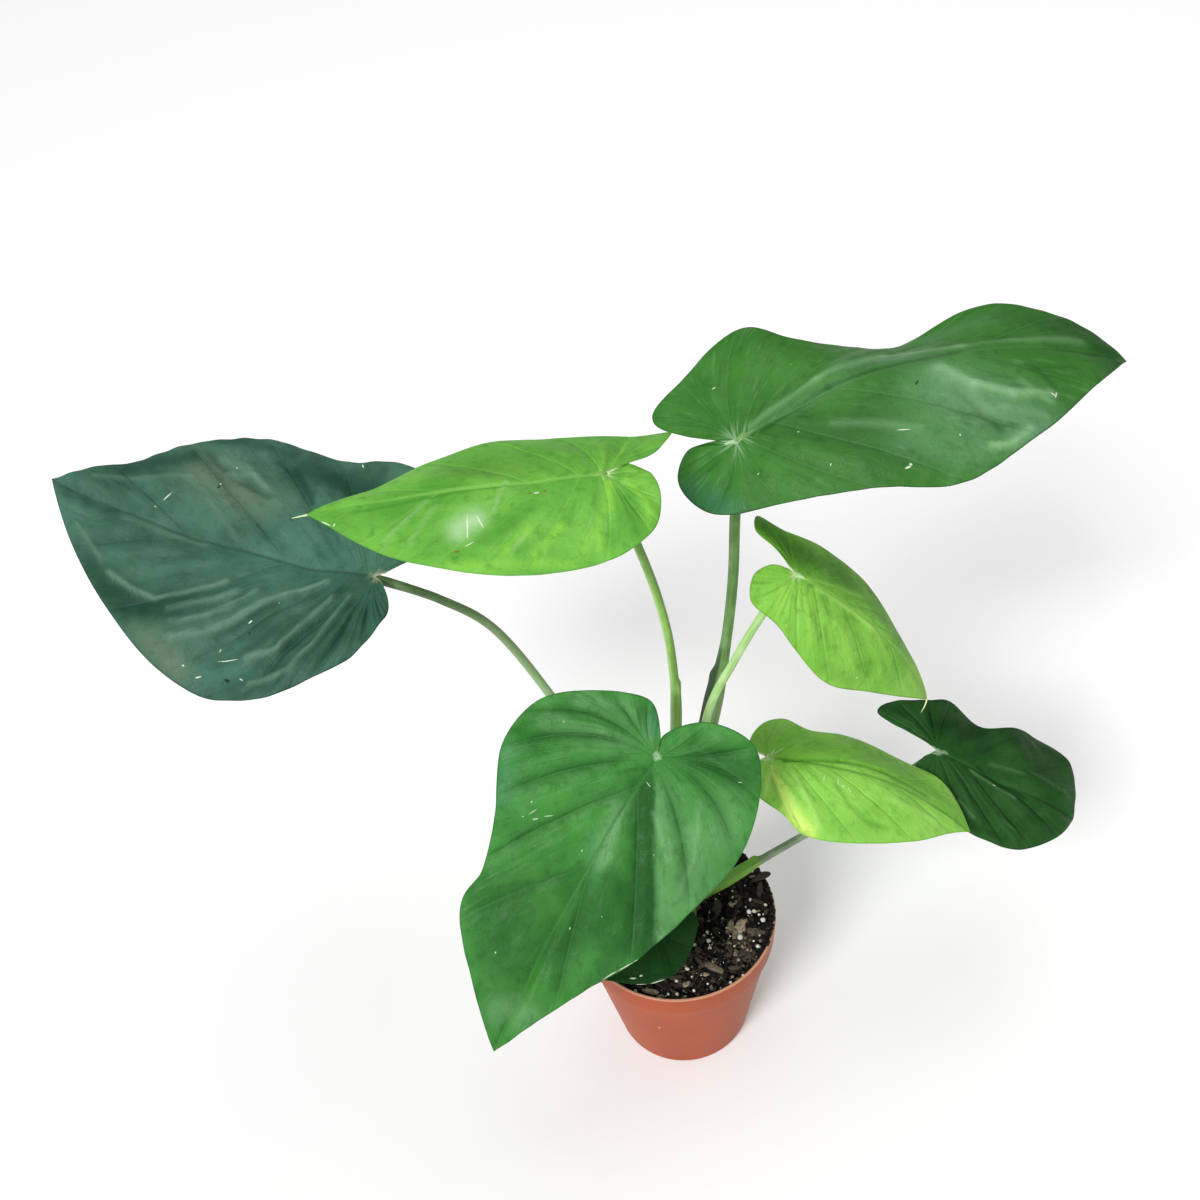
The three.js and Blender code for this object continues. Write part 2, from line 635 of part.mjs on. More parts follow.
function stalkGeometry(leaf) {
  const route = stalkRoute(leaf);
  const frames = route.computeFrenetFrames(STALK_SECTIONS, false);
  const positions = [];
  const index = [];
  for (let i = 0; i <= STALK_SECTIONS; i += 1) {
    const share = i / STALK_SECTIONS;
    const centre = route.getPointAt(share);
    const radius = stalkRadius(leaf, share);
    for (let k = 0; k < STALK_SIDES; k += 1) {
      const angle = (k / STALK_SIDES) * 2 * Math.PI;
      positions.push(...centre.clone()
        .addScaledVector(frames.normals[i], radius * Math.cos(angle))
        .addScaledVector(frames.binormals[i], radius * Math.sin(angle)));
    }
  }
  for (let i = 0; i < STALK_SECTIONS; i += 1) {
    for (let k = 0; k < STALK_SIDES; k += 1) {
      const a = i * STALK_SIDES + k;
      const b = i * STALK_SIDES + ((k + 1) % STALK_SIDES);
      index.push(a, b, b + STALK_SIDES, a, b + STALK_SIDES, a + STALK_SIDES);
    }
  }
  const top = STALK_SECTIONS * STALK_SIDES;
  for (let k = 1; k + 1 < STALK_SIDES; k += 1) {
    index.push(0, k + 1, k);
    index.push(top, top + k, top + k + 1);
  }
  return indexedGeometry(positions, index);
}

const plant = new THREE.Group();
plant.add(named('pot', potGeometry(), 0xb4623f, 0.5));
plant.add(named('soil', soilGeometry(), 0x2a1f1a, 0.95));
plant.add(named('stem', stemGeometry(), 0x7fa050, 0.6));
for (const leaf of LEAVES) {
  plant.add(named(`stalk_${leaf.name}`, stalkGeometry(leaf), leaf.stalkColor, 0.55));
  plant.add(named(`blade_${leaf.name}`, bladeGeometry(leaf), leaf.color, 0.4));
}

export default plant;
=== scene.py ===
"""Potted Syngonium chiapense: the finished surfaces of its nursery pot, potting mix, short stem and
eight leaves. Lengths are in millimetres, and a mesh is made in metres. The origin is the centre of
the pot's base, +X is right, +Y is back and +Z is up."""

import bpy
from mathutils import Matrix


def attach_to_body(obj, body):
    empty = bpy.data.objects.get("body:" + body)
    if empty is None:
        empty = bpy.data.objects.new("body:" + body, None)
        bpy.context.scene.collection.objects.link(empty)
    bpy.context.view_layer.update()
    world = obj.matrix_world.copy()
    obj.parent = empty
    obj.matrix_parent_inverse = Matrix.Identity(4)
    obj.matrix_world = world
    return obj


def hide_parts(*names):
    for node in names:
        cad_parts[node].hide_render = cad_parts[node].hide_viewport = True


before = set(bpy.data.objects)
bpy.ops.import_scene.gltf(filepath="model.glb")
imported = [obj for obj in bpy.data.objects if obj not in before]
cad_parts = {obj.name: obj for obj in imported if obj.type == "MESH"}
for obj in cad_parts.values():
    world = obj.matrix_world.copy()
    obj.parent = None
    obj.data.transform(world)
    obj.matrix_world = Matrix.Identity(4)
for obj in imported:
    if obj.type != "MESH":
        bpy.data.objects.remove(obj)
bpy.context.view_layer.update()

import functools
import math

import bpy
import numpy as np
from mathutils import Matrix, Vector

MM = 0.001
WELD = 0.0002

# Picture: where the camera stands, how far it looks down, and how far it leans
CAMERA_PLACE = (-23.8, -485.2, 828.4)
CAMERA_DOWN = math.radians(43.3)
CAMERA_LEAN = math.radians(-6.7)
CAMERA_LENS = 42
CAMERA_SENSOR = 36
CAMERA_SIGHT = 50
FLOOR_SIZE = 9000
FLOOR_TONE = 0.85
FLOOR_GLOW = 0.18
SURROUND = 0.3
SUN_PLACE = (-0.42, -0.6, 0.98)
SUN_POWER = 2.4
SUN_SPREAD = 0.36
SOFTBOX_PLACE = (0.15, 0.25, 2.3)
SOFTBOX_SIZE = 1.6
SOFTBOX_POWER = 14
LIT_PLACE = (0, 0, 0.3)

# Pot
POT_HEIGHT = 105
POT_RIM_RADIUS = 60
POT_BASE_RADIUS = 42
POT_WALL = 1.6
POT_CORNER = 4
RIM_BAND_HEIGHT = 17
RIM_STEP = 1.8
RIM_DRAFT = 1
RIM_BEVEL = 1
LIP_SLOPE = 0.2
POT_EASING = [0, 0.6, 0.6, 0.5, 0.4, 0.5, 0.3, 1, 1, 0]
POT_CORNER_STEPS = 8
POT_RING_STEP = 7
EASING_LIMIT = 0.45
POT_SIDES = 192
POT_SHARP_FROM = 40
DRAIN_HOLES = 6
DRAIN_HOLE_RADIUS = 4.5
DRAIN_HOLE_SIDES = 40
DRAIN_CIRCLE_RADIUS = 27
WALL_TOP = POT_HEIGHT - RIM_BAND_HEIGHT
WALL_TOP_RADIUS = POT_RIM_RADIUS - RIM_DRAFT - RIM_STEP
INSIDE_RIM = POT_RIM_RADIUS - RIM_DRAFT - POT_WALL
POT_SPECK = (-18.3 * MM, -48.5 * MM, 58.3 * MM)

# Potting mix. Its crumbs, chips and grains lie in its top, and the bank has spilt some on the lip.
FIT_GAP = 0.3
SOIL_LEVEL = 96
SOIL_CROWN_RISE = 3
SOIL_CROWN_SPREAD = 24
SOIL_BACK_RISE = 5
SOIL_RIPPLE = 0.9
HEAP_AT = (51, 14)
HEAP_RISE = 5
HEAP_SPREAD = 9
BANK_AT = 5
BANK_SPREAD = 48
BANK_RISE = 8
RIPPLE_PITCH = (0.35, 0.31)
RIPPLE_PHASE = (1.1, -0.4)
BED_RINGS = 100
BED_SIDES = 240
BED_SUNK = 1.8
BED_TOP_BAND = 4
LUMP_PITCH = (0.7, 1.5)
DENT_PITCH = (1.6, 3.2)
MIX_SEED = 31
CRUMBS = 1500
SPILT_CRUMBS = 240
SPILL_FROM_TO = (-32, 50)
SPILL_RADII = (56, 59.2)
CRUMB_SIZES = (0.6, 2.2)
SPILT_SIZES = (0.4, 1.1)
SPILT_LIFT, SPILT_ROOM = 0.2, 1.15
BARK_CHIPS = 620
CHIP_SIZES = (0.8, 4.2)
CHIP_LIFT = 0.9
GRIT_AT = (36, -27)
GRIT_SPREAD = 5.5
GRIT_COUNT = 150
GRIT_SIZES = (0.5, 1.6)
FINE_GRAINS = 170
GRAIN_SIZES = (0.25, 0.9)
GRAIN_LIFT = 0.6
FIBRES = 130
FIBRE_SECTIONS, FIBRE_SIDES = 12, 4
FIBRE_LENGTH, FIBRE_RADIUS, FIBRE_BOW, FIBRE_RISE = (5, 16), (0.12, 0.35), (-0.25, 0.25), (0, 0.18)
FIBRE_LIFT = 0.8

# The bed's relief: heights, sizes, seeds and numbers of waves, the last folded up into ridges
BED_LUMPS = [(1, 14, 21, 16), (0.8, 6, 22, 24)]
BED_RIDGES = (0.9, 3, 23, 32)

# Grains that stand out: places in the pot and radii
PLACED_GRAINS = [
    (17, -12, 1.4), (17, -18, 1.6), (17, -23, 1.8), (8, -19, 1.2), (44, -4, 1.5), (47, -5, 1.3),
    (51, -12, 1.4), (54, -3, 1.0), (36, -19, 1.7), (36, 10, 1.0), (50, 21, 1.0), (46, 4, 1.2),
    (34, -44, 1.3), (2, -35, 1.1), (-6, -51, 1.0), (52, 24, 1.1), (20, -16, 0.8), (15, -14, 1.0),
    (32, -24, 0.9), (45, -29, 1.1), (10, -24, 0.9), (4, -49, 0.9), (-11, -50, 0.9), (49, -26, 1.0),
    (-30, -45, 1.2), (-17, -52, 1.3), (26, -47, 1.0), (-5, -42, 1.0),
]
# Chips that stand out: places, half lengths, half widths, headings in degrees and tones
PLACED_CHIPS = [
    (38, -12, 6.5, 5.2, 60, 0.9), (46, -19, 5.5, 3.4, -20, 0.7), (19, -37, 8.5, 2.8, -38, 0.75),
    (13, -33, 4.5, 1.8, 20, 0.55), (38, -28, 5.5, 2.6, 35, 0.6), (-22, -47, 5.0, 2.6, -15, 1.4),
    (0, -44, 3.2, 2.0, 50, 0.9), (25, 3, 7.0, 2.8, 65, 0.5), (54, 15, 6.0, 2.2, 30, 0.3),
    (52, 8, 6.0, 2.0, 75, 0.35), (28, -27, 5.0, 2.2, 80, 0.5), (-4, -39, 4.5, 1.8, 10, 0.5),
    (-15, -50, 3.5, 2.0, 0, 1.1), (9, -29, 5.0, 1.6, -60, 0.45), (30, -38, 4.0, 1.6, -10, 0.6),
]

# Crown, stem and stalks. Shares are of a stalk's length, and turns go round it, in radians.
CROWN = np.array([1.0, 8.0])
CROWN_CLEAR = 5
STEM_RADIUS = 6
STEM_SIDES = 64
STEM_PROFILE = [
    (0, 80), (5.4, 80), (STEM_RADIUS, 84), (5.6, 100), (STEM_RADIUS, 104), (5, 107), (4.6, 111),
    (3, 115), (0, 117),
]
STEM_EASING = [0, 0.5, 2, 2, 2, 1.5, 2, 2, 0]
STALK_CIRCLE_RADIUS = 11
STALK_FOOT = 85
STALK_UPRIGHT_TO = 100
STALK_BASE_RADIUS = 3.6
STALK_TAPER = 1.5
STALK_SAMPLES = 900
STALK_SECTIONS = 130
STALK_SIDES = 48
STALK_PATTERN_RADIUS = 3
NECK_GAP = 0.9
KEEL_RUN, KEEL_DROP = 9, 2
KEEL_FADE = 11
KEEL_TIP_SHARE = 0.25
SWELL, SWELL_BELOW_BLADE, SWELL_SPREAD = 0.12, 14, 9
SHEATH_WIDENING = 0.6
SHEATH_END_SHARE = 0.08
FLARE_FROM, FLARE_FULL, FLARE_UNTIL, FLARE_GONE = 0.15, 0.3, 0.5, 0.64
WING_END_SHARE = 0.015
WING_POINT, WING_POINT_BACK, WING_POINT_SHARE = 0.7, 0.02, 0.012
WING_TURN, WING_WIDTH = 0.75, 0.17
CHANNEL_DEPTH, CHANNEL_WIDTH = 0.1, 0.35

# Blades. Places on the margin are counted from the notch, 0, to the tip, 1. A fade is the length
# over which a form grows. A groove and a keel are each a depth and a half width, and a swelling is
# a share of the pleats' height, a size, a seed and a number of waves.
BLADE_THICKNESS = 0.5
EDGE_ROUNDING = 0.45
MAIN_VEINS = 9
BRANCHES = 3
RIPPLES = 4.5
BASAL_SHARE = 0.4
LOBE_VEIN = (0.22, 0.58)
FORWARD_VEIN = (0.45, 0.52)
FORWARD_FROM, FORWARD_TO = 0.25, 0.6
LAG_FROM, LAG_TO = 0.25, 0.8
VEIN_CROWDING = 0.6
VEIN_SAMPLES = 25
SHORT_VEIN = 8
NEAR_MIDRIB = np.array([0, 0.5, 1.0, 1.6, 2.4])
NEAR_MARGIN = np.array([EDGE_ROUNDING, 0.2, 0.06, 0])
SEED_STEP, LEFT_SEED, RIGHT_SEED = 7, 3, 5
PLEAT_FULLNESS = (0.55, 1.35)
PLEAT_ROUNDING = 0.7
FULL_QUILT_REACH = 0.35
FULL_PANEL = 14
SWELLINGS = [(0.45, 55, 11, 16), (0.12, 17, 12, 16)]
SWELLING_FADE = 30
GUTTER_DEPTH, GUTTER, GUTTER_FADE = 0.9, 4, 20
CREASE_START = 0.5
CREASE_ROUNDING = 0.03
VEIN_GROOVE = (0.2, 0.8)
VEIN_RIDGE = 0.4
VEIN_FADE, VEIN_END_FADE = 4, 9
MIDRIB_GROOVE = (0.5, 1.2)
MIDRIB_KEEL = (1.2, 1.7)
MIDRIB_AT_TIP = 0.25
STREAK_SHIFT = 20
# The painted shade in the valleys: its width, its fades from the midrib and at the margin, and its
# growth with the distance from the stalk
VALLEY_WIDTH, VALLEY_FADE, VALLEY_END_FADE = 3, 6, 16
VALLEYS_FROM, VALLEYS_FULL = 4, 28
THREAD_RADIUS = 0.55
THREAD_OVERLAP = 1.5
THREAD_SECTIONS, THREAD_SIDES = 14, 8
THREAD_ASIDE_POWER, THREAD_DROP_POWER = 1.6, 2.5

# The leaves. A blade is drawn flat, in places (along, across) its midrib from where the stalk
# meets it. Its left half is the one on the left from the stalk to the tip.
# length, half_width: how long the midrib is, and the width that the sag is measured by
# left, right: the margin of each half, from the notch to the tip, at its main veins
# right_veins: the numbers of the margin's places where the right half's main veins end
# vein_power, lag: how far the veins crowd at the stalk, and how far they bow backward
# quilt, sharp: the height of the pleats between the veins, and how sharp their valleys are
# fine, groove: for each half, the share of the finer swelling, and how dark the painted shade in
# the valleys is
# ripple, crease: the height of the margin's ripples, and a fold in one half
# steps, columns: rows between two main veins, and points along a vein
# thread: how far the drip tip runs on, aside and down
# The blade is then bent and set in place.
# attach, heading, rise, roll: where the stalk meets it, and how it is turned, in degrees
# droop, sweep: the midrib's arc in degrees, and how far its tip goes aside
# cup, sag: for each half, the slope across it, and its fall at the half width
# wave: a bell-shaped rise or dip of one half
# The stalk has a round section.
# foot, route: its angle on the stalks' circle in degrees, and the places that it goes through
# neck, tuck: its radius at the blade, and how much deeper it lies under the blade
# sheath, flare, wing: the share where its sheath ends, its extra radius, and its wings' height
USUAL_LEAF = {
    "vein_power": 3, "lag": 0.1, "sharp": 0.55, "fine": (0.12, 0.12), "groove": (0.6, 0.6),
    "tuck": 0, "flare": 0, "wing": 0.9,
}
LEAVES = [
    {
        "name": "left", "slot": "leaf_dark_blue_green", "stalk_slot": "stalk_grey_green",
        "attach": (-132, 34, 373), "heading": 161, "rise": 0, "roll": -14, "length": 191, "droop": -8,
        "sweep": -29, "cup": (0.08, 0), "sag": (8, 6), "half_width": 75, "quilt": 3, "fine": (0.3, 0.1),
        "groove": (0.55, 0.35), "lag": 0, "ripple": 1.1, "foot": 180, "neck": 2.2, "sheath": 0.4,
        "steps": 26, "columns": 56,
        "left": [
            (-3, 2), (-10, 12), (-12, 24), (-6, 39), (13, 60), (48, 79), (88, 75.5), (130, 53.5),
            (163, 29), (191, 0),
        ],
        "right": [
            (-4, 2), (-18, 14), (-26, 32), (-20, 52), (4, 71), (44, 70), (88, 73), (128, 53), (162, 24),
            (191, 0),
        ],
        "route": [
            (-11, 9, 125), (-24, 14, 175), (-42, 22, 240), (-57, 28, 282), (-79, 30, 331),
            (-103, 32, 354),
        ],
    },
    {
        "name": "middle", "slot": "leaf_bright_green", "stalk_slot": "stalk_yellow_green",
        "attach": (-14, 20, 431), "heading": 182, "rise": 5, "roll": 0, "length": 143, "droop": 20,
        "sweep": -16, "cup": (-0.1, -0.16), "sag": (6, 4), "half_width": 52, "quilt": 1, "sharp": 0.15,
        "groove": (0.22, 0.3), "ripple": 0.8, "foot": 135, "neck": 2.2, "sheath": 0.6, "steps": 24,
        "columns": 50, "thread": (8, 0, 0),
        "left": [
            (-3, -2.5), (-12, -8), (-20, 0), (-23, 17), (-16, 36), (6, 49), (45, 52), (84, 42.5),
            (116, 25), (143, 0),
        ],
        "right": [
            (-5, 3), (-18, 13), (-30, 26), (-37, 43), (-16, 38), (18, 44), (52, 45), (84, 31),
            (114, 12), (143, 0),
        ],
        "route": [(-6, 16, 130), (2, 13, 190), (9, 12, 265), (9, 13, 318), (4, 14, 358), (-5, 17, 396)],
    },
    {
        "name": "upper_right", "slot": "leaf_mid_green", "stalk_slot": "stalk_green",
        "attach": (52, 65, 406), "heading": 10, "rise": 27, "roll": 12, "length": 218, "droop": 56,
        "sweep": -22, "cup": (0.05, 0), "sag": (0, 12), "half_width": 62, "quilt": 1.4, "sharp": 0.3,
        "groove": (0.25, 0.4), "ripple": 1.2, "foot": 90, "neck": 2.8, "sheath": 0.57, "flare": 1.6,
        "steps": 26, "columns": 56, "wave": {"side": 1, "along": 110, "spread": 46, "height": -50},
        "left": [
            (-4, 2), (-20, 20), (-31, 40.5), (-9, 50.5), (30, 61), (54, 44), (100, 39), (154, 45),
            (193, 28), (218, 0),
        ],
        "right": [
            (-5, -2), (-24, -13), (-36, 0), (-28, 27), (4, 42), (46, 57), (90, 68), (134, 54),
            (178, 28), (218, 0),
        ],
        "route": [
            (3, 20, 128), (16, 28, 175), (31, 38, 240), (41, 46, 284), (47, 54, 323), (50, 61, 361),
        ],
    },
    {
        "name": "mid_right", "slot": "leaf_light_green", "stalk_slot": "stalk_pale_green",
        "attach": (75, 25, 349), "heading": -12, "rise": -31, "roll": 22, "length": 120, "droop": 42,
        "sweep": -12, "cup": (-0.35, -0.1), "sag": (4, 6), "half_width": 36, "quilt": 0.7, "sharp": 0,
        "groove": (0.15, 0.15), "ripple": 0.6, "foot": 45, "neck": 2.1, "sheath": 0.5, "steps": 22,
        "columns": 46, "thread": (2, -7, 2),
        "left": [
            (-4, 3), (-14, 13), (-25, 20), (-24, 31), (-6, 28), (20, 30), (48, 27), (74, 16), (98, 9),
            (120, 0),
        ],
        "right": [
            (-3, -2), (-14, 0), (-21, 9), (-18, 21), (-3, 26), (16, 34), (42, 39), (68, 29), (94, 16),
            (120, 0),
        ],
        "route": [(10, 16, 128), (16, 14, 190), (26, 14, 264), (42, 18, 300), (58, 22, 328)],
    },
    {
        "name": "front", "slot": "leaf_deep_green", "stalk_slot": "stalk_yellow_green",
        "attach": (-5, -38, 297), "heading": -145, "rise": -39, "roll": -38, "length": 179, "droop": 8,
        "sweep": 16, "cup": (0.1, 0.1), "sag": (7, 7), "half_width": 64, "quilt": 2.6,
        "groove": (0.75, 0.75), "tuck": 2.5, "ripple": 1.6, "foot": 270, "neck": 2.6, "sheath": 0.45,
        "steps": 26, "columns": 56, "crease": {"side": 1, "to": (80, 47), "depth": 7, "spread": 9},
        "right_veins": [0, 1, 2, 2.9, 4.3, 5.05, 5.75, 6.8, 8, 9], "vein_power": 5, "lag": 0.28,
        "left": [
            (-1.5, -0.6), (-12, -2.8), (-29, 13), (-31, 37), (-10, 54), (24, 62), (58, 56), (97, 43),
            (140, 19), (179, 0),
        ],
        "right": [
            (-1.5, 1.4), (-11, 5), (-22, 19), (-13, 41), (8, 64), (38, 68), (68, 54), (97, 46),
            (125, 45), (179, 0),
        ],
        "route": [(1, -3, 128), (3, -5, 165), (2, -12, 210), (-2, -24, 262)],
    },
    {
        "name": "lower_right", "slot": "leaf_yellow_green", "stalk_slot": "stalk_yellow_green",
        "attach": (55, -7, 249), "heading": -7, "rise": -5, "roll": 5, "length": 128, "droop": 45,
        "sweep": -12, "cup": (-0.3, -0.05), "sag": (4, 6), "half_width": 40,
        "wave": {"side": 1, "along": 118, "spread": 18, "height": 9}, "quilt": 0.8, "sharp": 0,
        "groove": (0.15, 0.25), "ripple": 0.6, "foot": 315, "neck": 2.1, "sheath": 0.45, "steps": 22,
        "columns": 46,
        "left": [
            (-4, 3), (-9, 11), (-6.5, 22), (3, 34.5), (13, 38), (27, 29.5), (50, 32), (80, 31),
            (112, 27), (128, 0),
        ],
        "right": [
            (-3, 1), (-12, 5), (-16, 13), (-5, 23), (7, 31), (20, 41), (50, 40), (84, 28), (110, 11),
            (128, 0),
        ],
        "route": [(10, -1, 126), (18, -2, 165), (32, -4, 208), (44, -6, 232)],
    },
    {
        "name": "far_right", "slot": "leaf_dark_green", "stalk_slot": "stalk_grey_green",
        "attach": (158, 22, 201), "heading": -21, "rise": -20, "roll": 8, "length": 94, "droop": 22,
        "sweep": 4, "cup": (0, 0), "sag": (6, 6), "half_width": 45, "quilt": 2.4, "groove": (0.6, 0.85),
        "ripple": 0.8, "foot": 0, "vein_power": 4, "neck": 1.8, "sheath": 0.375, "steps": 22,
        "columns": 46, "wing": 1.5, "sheath_colour": "7cb048",
        "left": [
            (-4, 2), (-22, 7), (-39, 13), (-30, 25), (-11, 34.5), (4, 40), (24, 30.5), (55, 44),
            (88, 38), (94, 0),
        ],
        "right": [
            (-3, 2), (-8, 7), (-11, 15), (-8, 26), (8, 36), (30, 39), (54, 38), (70, 30), (84, 17),
            (94, 0),
        ],
        "route": [(17, 6, 112), (32, 3, 127), (56, 3, 147), (84, 7, 162), (120, 14, 180)],
    },
    {
        "name": "low", "slot": "leaf_shaded_green", "stalk_slot": "stalk_green",
        "attach": (-16, -30, 140), "heading": 182, "rise": -12, "roll": -10, "length": 88, "droop": 20,
        "sweep": 0, "cup": (0.05, 0.05), "sag": (5, 5), "half_width": 38, "quilt": 1.2, "sharp": 0.2,
        "groove": (0.1, 0.1), "ripple": 0.6, "foot": 225, "neck": 1.8, "sheath": 0.5, "steps": 14,
        "columns": 34,
        "left": [
            (-3, -1), (-19, -6), (-26.5, 3), (-20, 18.5), (-7, 31), (11, 32), (34, 23), (56, 13),
            (75, 6), (88, 0),
        ],
        "right": [
            (-2, 3), (-10, 12), (-14, 18), (-9, 22), (2, 22), (18, 23), (38, 22), (58, 16), (76, 8),
            (88, 0),
        ],
        "route": [(-9, -6, 112), (-12, -15, 124), (-15, -25, 134)],
    },
]

# How each blade is coloured, as sRGB.
# tones: its colours, in the order of their names in BLADE_TONES
# under, midrib: the colour of its underside, and of its midrib where that isn't the veins' colour
# fan: how far the pale fan of veins at the stalk reaches
# dust, line, mottle: the strength of dust specks, of the main veins' lines and of dark mottling
# shine: the specular level
# strokes of a tint: soft bands, each with its strength, the height that it adds to the relief, its
# half width, or those of its left and right sides, and its points
# scratch, dark, rust: marks, each with its place, half length, half width and turn in degrees
# Of the tones, valley is the colour of the painted shade in the valleys, and sheen that of the painted
# reflection.
BLADE_TONES = (
    "deep", "ground", "light", "pale", "fresh", "cool", "dusk", "painted_sheen", "valley", "vein", "centre",
    "rim",
)
# Of the tints, pale is partly pale veins and patches and partly painted highlight along ridges and
# wrinkles; deep is partly darker green and partly painted shade in creases and over the far halves;
# fresh is yellow-green, and on lower_right and middle partly painted light shining through the blade;
# sheen is painted reflection.
TINTS = ("pale", "deep", "fresh", "cool", "dusk", "painted_sheen")
MARKS = {"scratch": "dfe9d4", "dark": "0c1a10", "rust": "7a5a26"}
DUST = "dfe8cf"
USUAL_LOOK = {"shine": 0.22, "line": 0.2, "mottle": 0.35}
